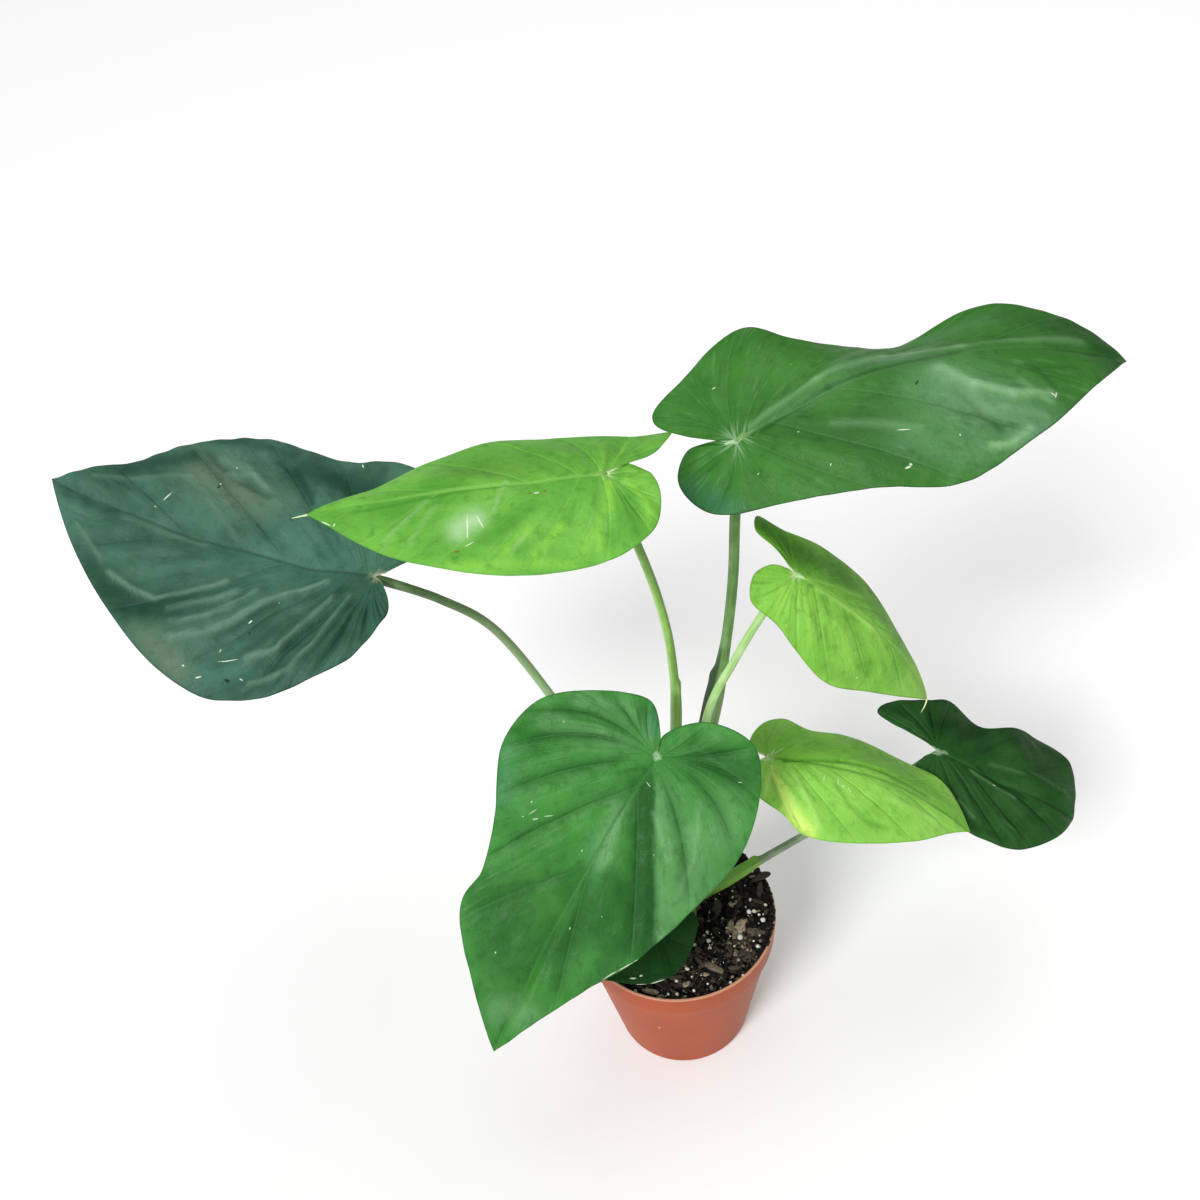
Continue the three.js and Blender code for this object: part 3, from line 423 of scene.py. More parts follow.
LOOKS = {
    "left": {
        "tones": "1a412f 315945 446e5a 739681 245a2d 44766a 5f785f 6c9382 193e2d 5f846d b4b898 1e4232",
        "under": "7a9a86", "fan": 6, "dust": 0.8, "line": 0.05, "midrib": "2c4c3c",
        "pale_strokes": [
            (0.25, 0.8, 1.3, (164, 18), (144, 30)), (0.22, 0.8, 1.4, (168, -12), (118, -34)),
            (0.19, 0.8, 2, (118, -34), (100, -22)), (0.19, 0.8, 1.4, (100, -22), (79, -5)),
            (0.28, 1.3, 1.7, (99, -42), (83, -46)), (0.19, 1, 2.3, (83, -44), (64, -31)),
            (0.25, 0, 1.8, (141, 4), (95, 2)),
            (0.5, 1.2, 1.5, (136, 36), (122, 39), (107, 40), (93, 32), (75, 19)),
            (0.43, 1.1, 1.4, (97, 44), (83, 35), (67, 23)),
            (0.43, 1.1, 1.4, (92, 51), (80, 44), (64, 28), (57, 21)),
            (0.55, 1.4, 1.8, (90, 59), (76, 51), (62, 37), (55, 30), (24, 7)),
            (0.48, 1.3, 1.6, (49, 57), (34, 50), (26, 32), (18, 16)),
            (0.41, 1.2, 1.6, (43, 69), (26, 59), (17, 45), (15, 35), (9, 14)),
            (0.29, 0.8, 2.4, (106, -50), (88, -48), (76, -40)),
        ],
        "deep_strokes": [
            (0.8, 0, 9.5, (63, -56), (16, -49)), (0.8, 0, 6.3, (155, -24), (122, -46)),
            (0.8, 0, 8, (135, 42), (109, 46)), (0.8, -1, 1.8, (66, -56), (48, -37)),
            (0.5, -0.8, 1.9, (93, -44), (72, -35)), (0.5, 0, 6.7, (50, 74), (21, 67)),
            (0.7, 0, 8, (118, 46), (95, 41)), (0.45, 0, 9, (98, 36), (84, 37)),
            (0.4, 0, 13, (40, 44), (6, 34)), (0.4, 0, 9, (36, -58), (20, -52)),
            (0.75, -1, 3, (31, 49), (29, 37), (24, 26), (15, 11)),
            (0.75, -1, 3, (31, 61), (19, 51), (14, 35), (8, 17)),
            (0.55, -0.8, 2.6, (68, 48), (58, 38), (44, 24)),
            (0.6, 0, 4.5, (150, 34), (136, 44), (120, 52)),
            (0.5, -0.9, 2, (116, -52), (96, -40), (69, -35)),
            (0.5, -0.8, 2, (76, -60), (62, -52), (49, -41)),
            (0.55, 0, 4, (116, -60), (94, -68), (70, -66)),
        ],
        "fresh_strokes": [(0.8, 0, 8, (135, 42), (109, 46))],
        "cool_strokes": [
            (0.5, 0, 16.5, (55, -10), (26, -7)), (0.25, 0, 10.9, (82, 10), (57, 11)),
            (0.5, 0, 6.2, (-2, 14), (-11, 27)), (0.6, 0, 5.8, (67, 69), (50, 65)),
        ],
        "dusk_strokes": [
            (1, 0, 13.3, (116, -39), (75, -29)), (0.7, 0, 6.6, (101, 58), (79, 69)),
            (0.8, 0, 4.5, (112, 56), (92, 68), (80, 71)),
        ],
        "scratch": [
            (125, -17, 3.5, 0.38, -117), (129, -9, 0.7, 0.38, 0), (101, -35, 0.7, 0.38, -86),
            (54, 38, 1.3, 0.45, -125), (58, 60, 5.4, 0.34, -162), (79, 69, 0.8, 0.45, 0),
            (64, 56, 1, 0.3, 90), (48, 68, 1.3, 0.38, 160), (31, -68, 1.5, 0.45, 130),
            (70, 72, 1.8, 0.38, 30),
        ],
        "dark": [(101, -33, 1.5, 0.75, -86), (52, 44, 1.1, 0.52, -89), (55, 70, 1.9, 0.9, 170)],
    },
    "middle": {
        "tones": "3c8525 5da638 72b945 b4d8a4 91d445 76b978 6a8b34 95d078 499430 88c85a def0b8 5c9a3c",
        "under": "8fc470", "fan": 6, "dust": 0, "mottle": 0.55,
        "pale_strokes": [
            (0.7, 0.4, 5.6, (70, 25), (62, 20)), (0.19, 0.6, 1.4, (105, 25), (83, 5)),
            (0.17, 0.5, 1.2, (93, 29), (79, 9)), (0.22, 0.6, 1.2, (53, 17), (46, -2)),
        ],
        "deep_strokes": [
            # The first stroke is painted shade over the far half.
            (0.4, 0, 19.1, (56, -26), (5, -20)), (0.4, 0, 4, (60, 33), (38, 19)),
            (0.35, 0, 12.2, (131, 11), (98, 9)), (0.35, 0, 3.1, (-4, 27), (2, 41)),
            (0.45, 0, 4.5, (-8, 16), (-9, 36)), (0.5, -0.4, 1.2, (34, 0), (90, 3), (120, 5)),
            (0.4, 0, 9, (96, 2), (70, -4)), (0.3, 0, 6, (84, 30), (70, 36)),
            (0.4, 0, 3, (48, 30), (34, 16)),
        ],
        "fresh_strokes": [
            (0.65, 0, 2.9, (37, 43), (25, 30)), (0.5, 0, 3, (16, 44), (11, 35)),
            (0.45, 0, 2.7, (74, 44), (22, 49)), (0.4, 0, 3.3, (-15, 10), (-17, 29)),
            (0.75, 0.5, 2.6, (-0.5, 6), (1.5, 22)), (0.6, 0.5, 2.2, (-8, 6), (-16, 19), (-17, 25)),
            (0.6, 0.3, 2.6, (-10, -3), (-17, 2)), (0.5, 0.4, 1.8, (6, 27), (8, 42)),
            (0.5, 0.4, 1.4, (-2, -29), (1.7, -4)), (0.5, 0.4, 1.4, (-14, -31), (-4, -7)),
            (0.5, 0, 3, (50, 40), (38, 30)),
        ],
        "dusk_strokes": [(0.45, 0, 9.7, (69, -13), (41, -14))],
        "scratch": [
            (66, 24, 6.8, 0.38, 84), (60, 22, 4, 0.38, 110), (33, 8.5, 1.6, 0.68, 180),
            (132, 10, 3.2, 0.38, 139), (128, 12, 1.1, 0.45, 60), (66, 33, 2.4, 0.3, 20),
        ],
        "rust": [(29, 8, 1, 0.6, 80), (36, 8, 1, 0.52, 100), (72, 36, 1.4, 0.83, 169)],
    },
    "upper_right": {
        "tones": "1a4a19 316c23 3d792d 8cba86 417f23 356f4f 52712e 608d65 235720 528b48 b4d4ac 244e21",
        "under": "76a866", "fan": 14, "dust": 0.8, "midrib": "4a8240",
        "pale_strokes": [
            (0.3, 0.5, 1.8, (10, 3), (49, 10)), (0.3, 0.5, 2.4, (49, 10), (89, 17)),
            (0.33, 0.5, 2.8, (89, 17), (125, 8)), (0.22, 0.5, 2.4, (125, 8), (190, 5)),
            # The strokes of strength 0.6 are painted highlights along wrinkles.
            (0.6, 1, 3, (106, -7), (116, -22)), (0.6, 1, 2.6, (116, -22), (132, -31)),
            (0.6, 1, 2.6, (132, -31), (153, -31)), (0.22, 0.6, 1.9, (124, -37), (144, -44)),
            (0.22, 0.5, 2, (44, -18), (80, -38)), (0.6, 0.8, 2, (132, -50), (118, -57), (108, -56)),
            (0.3, 0, 4.5, (101, -8), (107, -21), (115, -38)), (0.35, 0.6, 2, (140, -24), (150, -36)),
        ],
        "deep_strokes": [
            (0.6, -0.4, 1.5, (13, -3), (52, 3)), (0.6, -0.4, 1.7, (52, 3), (77, 3)),
            (0.5, -0.4, 2, (80, 3), (120, 1)), (0.6, -0.9, 3.2, (107, -21), (117, -48)),
            (0.4, -0.6, 2.3, (154, -16), (157, -27)), (0.7, 0, 12.6, (202, 16), (208, -3)),
            (0.45, 0, 12.8, (167, 28), (195, 17)), (0.5, 0, 18, (182, 10), (200, -4)),
            (0.35, 0, 13, (47, -28), (54, -50)), (0.35, 0, 12, (20, -8), (62, -28)),
        ],
        "fresh_strokes": [(0.35, 0, 12.8, (18, -25), (46, -47)), (0.3, 0, 11.4, (18, 37), (55, 21))],
        "cool_strokes": [(0.85, 0, 7.7, (-33, -8), (-21, -29))],
        # These strokes are painted reflection and highlight.
        "painted_sheen_strokes": [
            (1, 0, 20.4, (104, -24), (133, -50)), (0.5, 0, 9.8, (70, -40), (99, -57)),
            (0.45, 0, 4.6, (24, -1), (60, 2)), (0.35, 0, 6.1, (122, 35), (156, 31)),
            (0.5, 0, 9, (66, 14), (100, 10)),
        ],
        "scratch": [
            (65, -54, 1.9, 0.6, 7), (67, -53, 0.8, 0.75, 0), (153, -32, 1.4, 0.45, -32),
            (155, -32, 2.3, 0.45, -127), (4, 34, 1, 0.3, 0), (28, -14, 0.6, 0.3, 0),
            (1, -23, 0.6, 0.3, 0), (33, -38, 0.7, 0.3, 40), (72, -36, 3.2, 0.26, -20),
        ],
        "dark": [(90, -14, 2.1, 0.6, 44)],
    },
    "mid_right": {
        "tones": "457a22 76b941 8bcc52 b6e779 a5d754 83c26d 87a843 a9e386 64a439 9fdf60 eaf6c0 6f9440",
        "under": "9ccc78", "fan": 5, "dust": 0, "shine": 0.12, "line": 0.05, "mottle": 0.45,
        "pale_strokes": [
            (0.33, 0, 1.1, (2, 0), (19, 5)), (0.25, 0, 1.2, (19, 5), (43, 11)),
            (0.55, 0.6, 1.5, (14, -1), (29, -1), (40, -1), (54, -2)),
        ],
        "deep_strokes": [
            # The first three strokes are painted shade over the far half.
            (0.95, 0, 8.8, (-20, 23), (0, 16)), (0.7, 0, 10.1, (0, 16), (32, 19)),
            (0.3, 0, 9.6, (32, 19), (61, 12)), (0.3, -0.4, 1.5, (25, -17), (32, -25)),
            (0.3, 0, 3.8, (33, -34), (53, -32)), (0.3, 0, 4, (36, -6), (52, -14), (60, -22)),
        ],
        "fresh_strokes": [
            (0.5, 0, 10.5, (103, 1), (116, 1)), (0.5, 0.4, 2, (26, -11), (38, -16), (47, -24)),
            (0.5, 0.4, 1.8, (49, -2), (59, -4), (66, -8)), (0.5, 0.4, 1.8, (-3, -9), (-3, -20)),
            (0.45, 0.4, 2.2, (11, -10), (20, -26)),
        ],
        "scratch": [(56, -28, 0.8, 0.38, 30)],
        "rust": [(112, 0, 0.7, 0.38, 0)],
    },
    "front": {
        "tones": "174c1a 2f792a 46903d 8cb888 448e2a 478860 4a6a2c 6aa065 1c521e 4a8c44 a8cc9c 2c5c30",
        "under": "6fa160", "fan": 3, "dust": 1, "midrib": "3c7c38",
        "pale_strokes": [
            (0.22, 0.6, 1.3, (25, 14), (35, 25)), (0.19, 0.6, 1.8, (7, 30), (27, 41)),
            (0.17, 0.5, 1.3, (29, 42), (52, 46)),
        ],
        "deep_strokes": [
            (0.4, 0, 5.6, (69, 50), (90, 38)), (0.4, 0, 4.5, (61, 12), (76, 30)),
            (0.6, 0, 19, (100, -22), (131, -15)), (0.6, 0, 13, (112, 6), (92, 12)),
            # The first stroke on the next line is painted shade on the dark side of the fold.
            (0.85, 0, (1.3, 11), (16, 8), (48, 28), (84, 50)), (0.5, 0, 10, (-14, 16), (-20, 40)),
            (0.45, 0, 7, (70, 14), (90, 22)), (0.55, 0, 8, (68, 34), (114, 33)),
        ],
        "fresh_strokes": [
            (0.5, 0, 7.2, (137, -6), (134, 6)), (0.35, 0, 9.1, (85, -25), (101, 1)),
            (0.45, 0, 8, (58, -20), (46, -28)),
        ],
        "cool_strokes": [
            (0.4, 0, 3.1, (51, -7), (68, 5)), (0.5, 0, 5.5, (59, -54), (39, -64)),
            (0.7, 0, 4, (-20, -13), (-9, -9)),
        ],
        # These strokes are painted reflection and highlights.
        "painted_sheen_strokes": [
            (0.6, 0, 15, (24, 40), (50, 52)), (0.8, 2, 5, (32, -2), (60, 4)),
            (0.7, 0, 7.5, (157, -7), (152, 4)), (0.5, 0.5, 2.6, (10, -56), (2, -17)),
            (0.4, 0.5, 1.4, (-15, 12), (-14, 40)), (0.6, 0, 6, (150, -6), (146, 8)),
            (0.5, 0, 9, (-4, 40), (14, 50)), (0.55, 1, 4.5, (2, -16), (17, -55)),
            (0.5, 0.8, 3, (-6, -8), (-14, -26), (-4, -44)),
            # The first stroke on the next line is painted highlight on the lit side of the fold.
            (0.75, 0, (11, 1.2), (20, 12), (48, 29), (80, 49)), (0.5, 0, 6, (-8, -22), (-2, -46)),
        ],
        "scratch": [
            (56, -38, 3, 0.22, 154), (59, -35, 1.6, 0.39, 128), (54, -30, 2.5, 0.22, 128),
            (-12, 41, 1.1, 0.22, 123), (14, 4, 1.8, 0.2, 71), (10, -48, 0.6, 0.22, 0),
            (60, -7, 0.6, 0.29, 0), (98, 7, 0.7, 0.34, 0), (129, -21, 0.6, 0.34, 0),
            (83, 18, 0.4, 0.22, 0), (52, -41, 0.6, 0.29, 0), (61, -41, 0.6, 0.29, 0),
            # The last three marks draw a thin pale line along the margin.
            (108, 36.3, 5, 0.3, 153), (99.5, 41, 5, 0.3, 150), (92, 45.3, 4, 0.3, 150),
        ],
    },
    "lower_right": {
        "tones": "5a9e31 87c94e 98d85a c2ec8f ecff86 91d775 95b14b b8ec86 6cb543 99db5c ecf8c4 72ac40",
        "under": "a0d078", "fan": 5, "dust": 0, "midrib": "4f8a30", "shine": 0.14, "line": 0.05,
        "mottle": 0.45,
        "pale_strokes": [
            (0.17, 0.5, 1.9, (67, -11), (99, -10)), (0.5, 0.4, 1.4, (2, -6), (-2, -22)),
            (0.35, 0.5, 1.4, (14, -10), (27, -36)),
        ],
        "deep_strokes": [
            # The first two strokes are painted shade over the far half.
            (0.2, 0, 10.3, (5, 24), (32, 15)), (0.35, 0, 10.1, (32, 15), (90, 15)),
            (0.8, -0.8, 1.3, (9, -1), (41, 6)), (0.8, -0.8, 1.5, (41, 6), (72, 7)),
            (0.7, -0.6, 2, (72, 7), (95, 4)), (0.35, -0.4, 1.4, (4, -8), (20, -26)),
            (0.5, 0, 2, (0, -8), (6, -26)), (0.35, 0, 7, (38, -36), (56, -30)),
            (0.5, -0.9, 1.6, (38, -11), (44, -20), (54, -27), (67, -27)),
            (0.45, 0, 9, (104, 8), (122, 2)),
        ],
        # This stroke paints the bright yellow streak where light shines through the blade.
        "fresh_strokes": [(0.75, 0, 4.2, (3, -10), (8, -22), (15, -33), (22, -39))],
        "scratch": [
            (30, -9, 2.1, 0.26, -101), (44, -12, 2.1, 0.26, -61), (41, -11, 1.6, 0.25, 10),
            (3, 4.5, 3.4, 0.36, 62), (6.5, 6, 4, 0.34, 40), (38, -9, 2.4, 0.25, -80),
        ],
        "dark": [(-1, 2, 1.3, 0.3, 70)],
    },
    "far_right": {
        "tones": "153716 244f21 305d2b 678f5d 2b6221 2f5e3b 3e5226 5a8351 173b17 336235 a8c898 193b19",
        "under": "5c8858", "fan": 3, "dust": 0, "shine": 0.08,
        "pale_strokes": [
            (0.45, 0.8, 1.1, (21, -3), (50, -8)), (0.36, 0.8, 0.9, (17, -25), (28, -31)),
            (0.3, 0.6, 1, (32, 7), (55, 11)), (0.27, 0.6, 1, (59, 15), (83, 12)),
            (0.24, 0.4, 1, (46, -24), (56, -26)),
        ],
        "deep_strokes": [
            (0.7, 0, 8.2, (-5, 17), (23, 26)), (0.5, 0, 6.8, (38, 34), (82, 38)),
            (0.7, -0.6, 1.4, (25, 2), (56, -4)), (0.5, 0, 2.3, (26, -36), (51, -34)),
            (0.6, 0, 4.4, (-39, 16), (-24, 17)), (0.35, 0, 9, (57, 29), (72, 11)),
        ],
        "scratch": [(36, -6, 1.1, 0.26, 0)],
    },
    "low": {
        "tones": "0d2c10 173a17 1e451d 0a2812 1e451d 173a24 1c3414 2a5428 0d2c10 16401a 4c7048 173a17",
        "under": "2c5a30", "fan": 2, "dust": 0, "shine": 0.06,
        "pale_strokes": [(0.5, 0, 1, (34, 22.5), (-6, 31.5))],
        "scratch": [
            # The three marks of half length 5 and 6 draw a thin pale line near the margin.
            (17, 27, 2.1, 0.45, 165), (12, 27, 1.1, 0.52, 180), (28, 26, 6, 0.26, 156),
            (16, 30.8, 6, 0.26, 167), (4, 32.6, 5, 0.26, 180),
        ],
    },
}

# Each stalk's dark, middle and light colours, and that of its foot where it differs
STALK_LOOKS = {
    "left": ("435e36", "56724a", "728c60", "a6c48c"), "middle": ("6fa040", "8fbf5a", "a6d46c"),
    "upper_right": ("587f3e", "749c5a", "8cb474"), "mid_right": ("9ccc76", "bfe29c", "d8f2bc"),
    "front": ("5c9038", "7fb054", "9cc870"), "lower_right": ("78a848", "98c860", "b4de7c"),
    "far_right": ("70846a", "8a9a84", "a0b296"), "low": ("3c6428", "5a8444", "749c5a"),
}
# Colour along one side of a stalk: its colour, where it starts and is full across the stalk, from -1
# at the left to 1 at the right, the same along the stalk as shares, and its strength. The pale bands
# on the left of left and middle are painted highlight, the dark band on middle's right is painted
# shade, and the dark band on upper_right's left is its sheath's own dark edge.
STALK_SIDE_TINTS = {
    "left": [("b8d89c", -0.3, -0.9, 0.62, 0.5, 0.6)],
    "middle": [("c4e8a4", -0.2, -0.9, 1.1, 1.0, 0.6), ("5f8040", 0.2, 0.8, 1.1, 1.0, 0.55)],
    "upper_right": [
        ("1e3c28", -0.35, -0.75, 0.64, 0.56, 0.85), ("86944a", 0.0, 0.7, 0.62, 0.5, 0.6),
    ],
}


def linear(text):
    """A colour given as six hex digits of sRGB, as linear red, green, blue and a full alpha."""
    parts = [int(text[i:i + 2], 16) / 255 for i in (0, 2, 4)]
    return [c / 12.92 if c <= 0.04045 else ((c + 0.055) / 1.055) ** 2.4 for c in parts] + [1]


class Amount:
    """A socket that holds a number. Arithmetic on it adds Math nodes."""

    def __init__(self, finish, socket):
        self.finish = finish
        self.socket = socket

    def maths(self, operation, *values):
        return self.finish.node("Math", 0, {"operation": operation}, dict(enumerate(values)))

    def __add__(self, other):
        return self.maths("ADD", self, other)

    def __sub__(self, other):
        return self.maths("SUBTRACT", self, other)

    def __rsub__(self, other):
        return self.maths("SUBTRACT", other, self)

    def __mul__(self, other):
        return self.maths("MULTIPLY", self, other)

    def most(self, other):
        return self.maths("MAXIMUM", self, other)

    __radd__ = __add__
    __rmul__ = __mul__


class Finish:
    """A material. Its constants are set on the surface shader's own sockets."""

    def __init__(self, name, **constants):
        self.material = bpy.data.materials.new(name)
        self.material.use_nodes = True
        self.tree = self.material.node_tree
        self.surface = self.tree.nodes["Principled BSDF"]
        for socket, value in constants.items():
            self.surface.inputs[socket.replace("_", " ")].default_value = value

    def node(self, kind, outputs, settings=None, inputs=None):
        """Adds a node of a kind. Its settings come first, then the values or links of its
        sockets. Returns the output that outputs names or numbers, or a list of several."""
        made = self.tree.nodes.new("ShaderNode" + kind)
        for key, value in (settings or {}).items():
            setattr(made, key, value)
        for key, value in (inputs or {}).items():
            if isinstance(value, Amount):
                self.tree.links.new(value.socket, made.inputs[key])
            else:
                made.inputs[key].default_value = value
        if isinstance(outputs, list):
            return [Amount(self, made.outputs[name]) for name in outputs]
        return Amount(self, made.outputs[outputs])

    def feed(self, **links):
        for socket, value in links.items():
            self.tree.links.new(value.socket, self.surface.inputs[socket.replace("_", " ")])

    def vector(self, name):
        """A vector that the mesh holds at its points."""
        return self.node("Attribute", "Vector", {"attribute_name": name})

    def split(self, vector):
        return self.node("SeparateXYZ", ["X", "Y", "Z"], None, {"Vector": vector})

    def place(self):
        return self.node("TexCoord", "Object")

    def stretched(self, vector, scale):
        return self.node("Mapping", "Vector", None, {"Vector": vector, "Scale": scale})

    def noise(self, vector, scale, detail, roughness):
        inputs = {"Vector": vector, "Scale": scale, "Detail": detail, "Roughness": roughness}
        return self.node("TexNoise", "Fac", None, inputs)

    def cells(self, vector, scale, feature="F1"):
        inputs = {"Vector": vector, "Scale": scale}
        return self.node("TexVoronoi", "Distance", {"feature": feature}, inputs)

    def between(self, value, low, high):
        """0 below low, 1 above high, and a smooth step between them. High may be the lower."""
        settings = {"interpolation_type": "SMOOTHSTEP"}
        return self.node("MapRange", "Result", settings, {0: value, 1: low, 2: high})

    def coated(self, ground, coats):
        """A ground colour under coats that are laid on in turn. Each has its cover, from 0 to 1, and
        its colour."""
        colour = linear(ground)
        for cover, tone in coats:
            inputs = {0: cover, 6: colour, 7: linear(tone)}
            colour = self.node("Mix", 2, {"data_type": "RGBA"}, inputs)
        return colour

    def bump(self, height, distance, strength):
        inputs = {"Height": height, "Distance": distance * MM, "Strength": strength}
        return self.node("Bump", "Normal", None, inputs)


def lumps(x, y, size, seed, waves):
    """An uneven height, mostly from -1 to 1: a sum of sine waves about size long, each in a drawn
    direction."""
    draw = np.random.default_rng(seed)
    angle = draw.uniform(0, 2 * np.pi, waves)
    pitch = 2 * np.pi / size * draw.uniform(*LUMP_PITCH, waves)
    phase = draw.uniform(0, 2 * np.pi, waves)
    run = x[..., None] * np.cos(angle) + y[..., None] * np.sin(angle)
    return np.sin(run * pitch + phase).sum(-1) / np.sqrt(waves)


def through(points, places):
    """A curve through all points but the first and last, which only steer it. Between two points
    it is the cubic whose slope at each is half the step between its neighbours. Places count
    points."""
    low = np.clip(places.astype(int), 0, len(points) - 4)
    t = (places - low)[:, None]
    before, start, end, after = (points[low + i] for i in range(4))
    square = 2 * before - 5 * start + 4 * end - after
    cube = 3 * (start - end) + after - before
    return start + t / 2 * (end - before + t * (square + t * cube))


def smooth_step(value, low, high):
    """0 below low, 1 above high, and between them three squares less two cubes of the share."""
    share = np.clip((value - low) / (high - low), 0, 1)
    return share * share * (3 - 2 * share)


def fade_in(value, length):
    """Grows evenly from 0 to 1 over a length."""
    return np.minimum(1, value / length)


def bell(distance, width):
    """exp of minus the square of the distance in widths."""
    return np.exp(-(distance / width) ** 2)


def unit(vectors):
    """Vectors made one long."""
    return vectors / np.maximum(np.linalg.norm(vectors, axis=-1, keepdims=True), WELD)


def grid_faces(rows, columns, flip=False):
    """The triangles of a grid of points that are kept row by row."""
    corner = np.arange(rows * columns).reshape(rows, columns)
    a, b, c, d = corner[:-1, :-1], corner[1:, :-1], corner[1:, 1:], corner[:-1, 1:]
    faces = np.stack([a, b, d, b, c, d], -1).reshape(-1, 3)
    return faces[:, ::-1] if flip else faces


def repeated(faces, count, points_each):
    """The faces of count copies of a mesh that has points_each points."""
    return (faces[None] + np.arange(count)[:, None, None] * points_each).reshape(-1, 3)


def welded(points, faces):
    """Joins the points that lie together, and drops the faces that this closes up. Returns the
    numbers of the points that stay, the faces, and which faces stay."""
    keys = np.round(points / WELD).astype(np.int64)
    _, kept, joined = np.unique(keys, axis=0, return_index=True, return_inverse=True)
    faces = joined.reshape(-1)[faces]
    open_faces = (faces != np.roll(faces, 1, axis=1)).all(1)
    return kept, faces[open_faces], open_faces


def put_in_scene(name, held):
    """A new object that holds a mesh, a camera or a lamp."""
    thing = bpy.data.objects.new(name, held)
    bpy.context.scene.collection.objects.link(thing)
    return thing


def new_mesh(name, points, faces):
    """A mesh from points in millimetres."""
    mesh = bpy.data.meshes.new(name)
    mesh.from_pydata((points * MM).tolist(), [], faces.tolist())
    return mesh


def make_piece(name, points, faces, finishes, slot, node=None, chosen=None, values=None, sharp=None):
    """A named mesh that rides with the plant. Chosen is the number of each face's finish, values
    are its point attributes, and sharp is the angle from which its edges stay sharp."""
    kept, faces, stay = welded(points, faces)
    mesh = new_mesh(name, points[kept], faces)
    for finish in finishes:
        mesh.materials.append(finish.material)
    if chosen is not None:
        mesh.polygons.foreach_set("material_index", chosen[stay].astype(np.int32))
    for key, value in (values or {}).items():
        layer = mesh.attributes.new(key, "FLOAT_VECTOR", "POINT")
        layer.data.foreach_set("vector", value[kept].astype(np.float32).ravel())
    mesh.polygons.foreach_set("use_smooth", np.ones(len(faces), bool))
    if sharp:
        mesh.set_sharp_from_angle(angle=math.radians(sharp))
    mesh.update()
    piece = put_in_scene(name, mesh)
    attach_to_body(piece, "root")
    if node:
        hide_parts(node)
    return piece


def of_half(pair, sign):
    """Of a pair, the first for the left half of a blade, whose sign is above 0, else the second."""
    return pair[0] if sign > 0 else pair[1]


def blade_axes(leaf):
    """The blade's forward, left and up directions: forward is a heading and a rise, and the other
    two are square to it and turned about it by a roll."""
    az, el, roll = (math.radians(leaf[key]) for key in ("heading", "rise", "roll"))
    forward = np.array([math.cos(az) * math.cos(el), math.sin(az) * math.cos(el), math.sin(el)])
    level = np.array([-math.cos(az) * math.sin(el), -math.sin(az) * math.sin(el), math.cos(el)])
    side = np.cross(level, forward)
    left = side * math.cos(roll) + np.cross(forward, side) * math.sin(roll)
    return forward, left, np.cross(forward, left)


def bent(leaf, along, signed, lift):
    """Bends flat points into place. The midrib is an arc of the droop angle that sweeps aside with
    the square of its length. Across it, the height is cup times the distance, less sag times the
    square of the share of the half width, and a wave adds a bell-shaped rise or dip."""
    width = np.abs(signed) / leaf["half_width"]
    cup, sag = (np.where(signed > 0, *leaf[key]) for key in ("cup", "sag"))
    height = cup * np.abs(signed) - sag * width**2
    if "wave" in leaf:
        wave = leaf["wave"]
        on_side = np.sign(signed) == wave["side"]
        rise = on_side * wave["height"] * bell(along - wave["along"], wave["spread"])
        height = height + rise * width
    height = height + lift
    turn = math.radians(leaf["droop"]) / leaf["length"]
    share = np.maximum(0, along) / leaf["length"]
    forward = (1 / turn + height) * np.sin(turn * along)
    sideways = signed + leaf["sweep"] * share**2
    up = (1 / turn + height) * np.cos(turn * along) - 1 / turn
    axes = np.array(blade_axes(leaf))
    return np.array(leaf["attach"]) + np.stack([forward, sideways, up], -1) @ axes


def vein_rows(leaf):
    """Places along the margin from the notch, 0, to the tip, 1: even ones, each moved back by a
    sine wave of its place between two main veins, which brings them closer together at the veins."""
    panel = np.arange(MAIN_VEINS * leaf["steps"] + 1) / leaf["steps"]
    return (panel - VEIN_CROWDING * np.sin(2 * np.pi * panel) / (2 * np.pi)) / MAIN_VEINS


def stations(lengths, columns):
    """Shares of each vein's length: close steps at the midrib and the margin, even ones between."""
    lengths = np.maximum(lengths, WELD)[:, None]
    scale = fade_in(lengths, SHORT_VEIN)
    head = NEAR_MIDRIB * scale
    tail = lengths - NEAR_MARGIN * scale
    share = np.linspace(0, 1, columns - len(NEAR_MIDRIB) - len(NEAR_MARGIN) + 2)[1:-1]
    middle = head[:, -1:] * (1 - share) + tail[:, :1] * share
    return np.concatenate([head, middle, tail], 1) / lengths


def vein_curve(start, end, r, v, lag):
    """A vein as a quadratic curve: it leaves the midrib at start and bends forward to its end at
    the margin. In the lobes it leaves steeply, and beyond them at a smaller angle. Those next to
    the lobes lag, which is to say they bow backward first."""
    foot = np.stack([start, np.zeros_like(start)], -1)[:, None]
    share = smooth_step(v, FORWARD_FROM, FORWARD_TO)
    forward, out = (a + (b - a) * share for a, b in zip(LOBE_VEIN, FORWARD_VEIN))
    back = lag * np.sin(np.pi * np.clip((v - LAG_FROM) / (LAG_TO - LAG_FROM), 0, 1)) * end[:, 1]
    bend = np.stack([start + forward * (end[:, 0] - start) - back, out * end[:, 1]], -1)[:, None]
    return (1 - r) ** 2 * foot + 2 * r * (1 - r) * bend + r**2 * end[:, None]


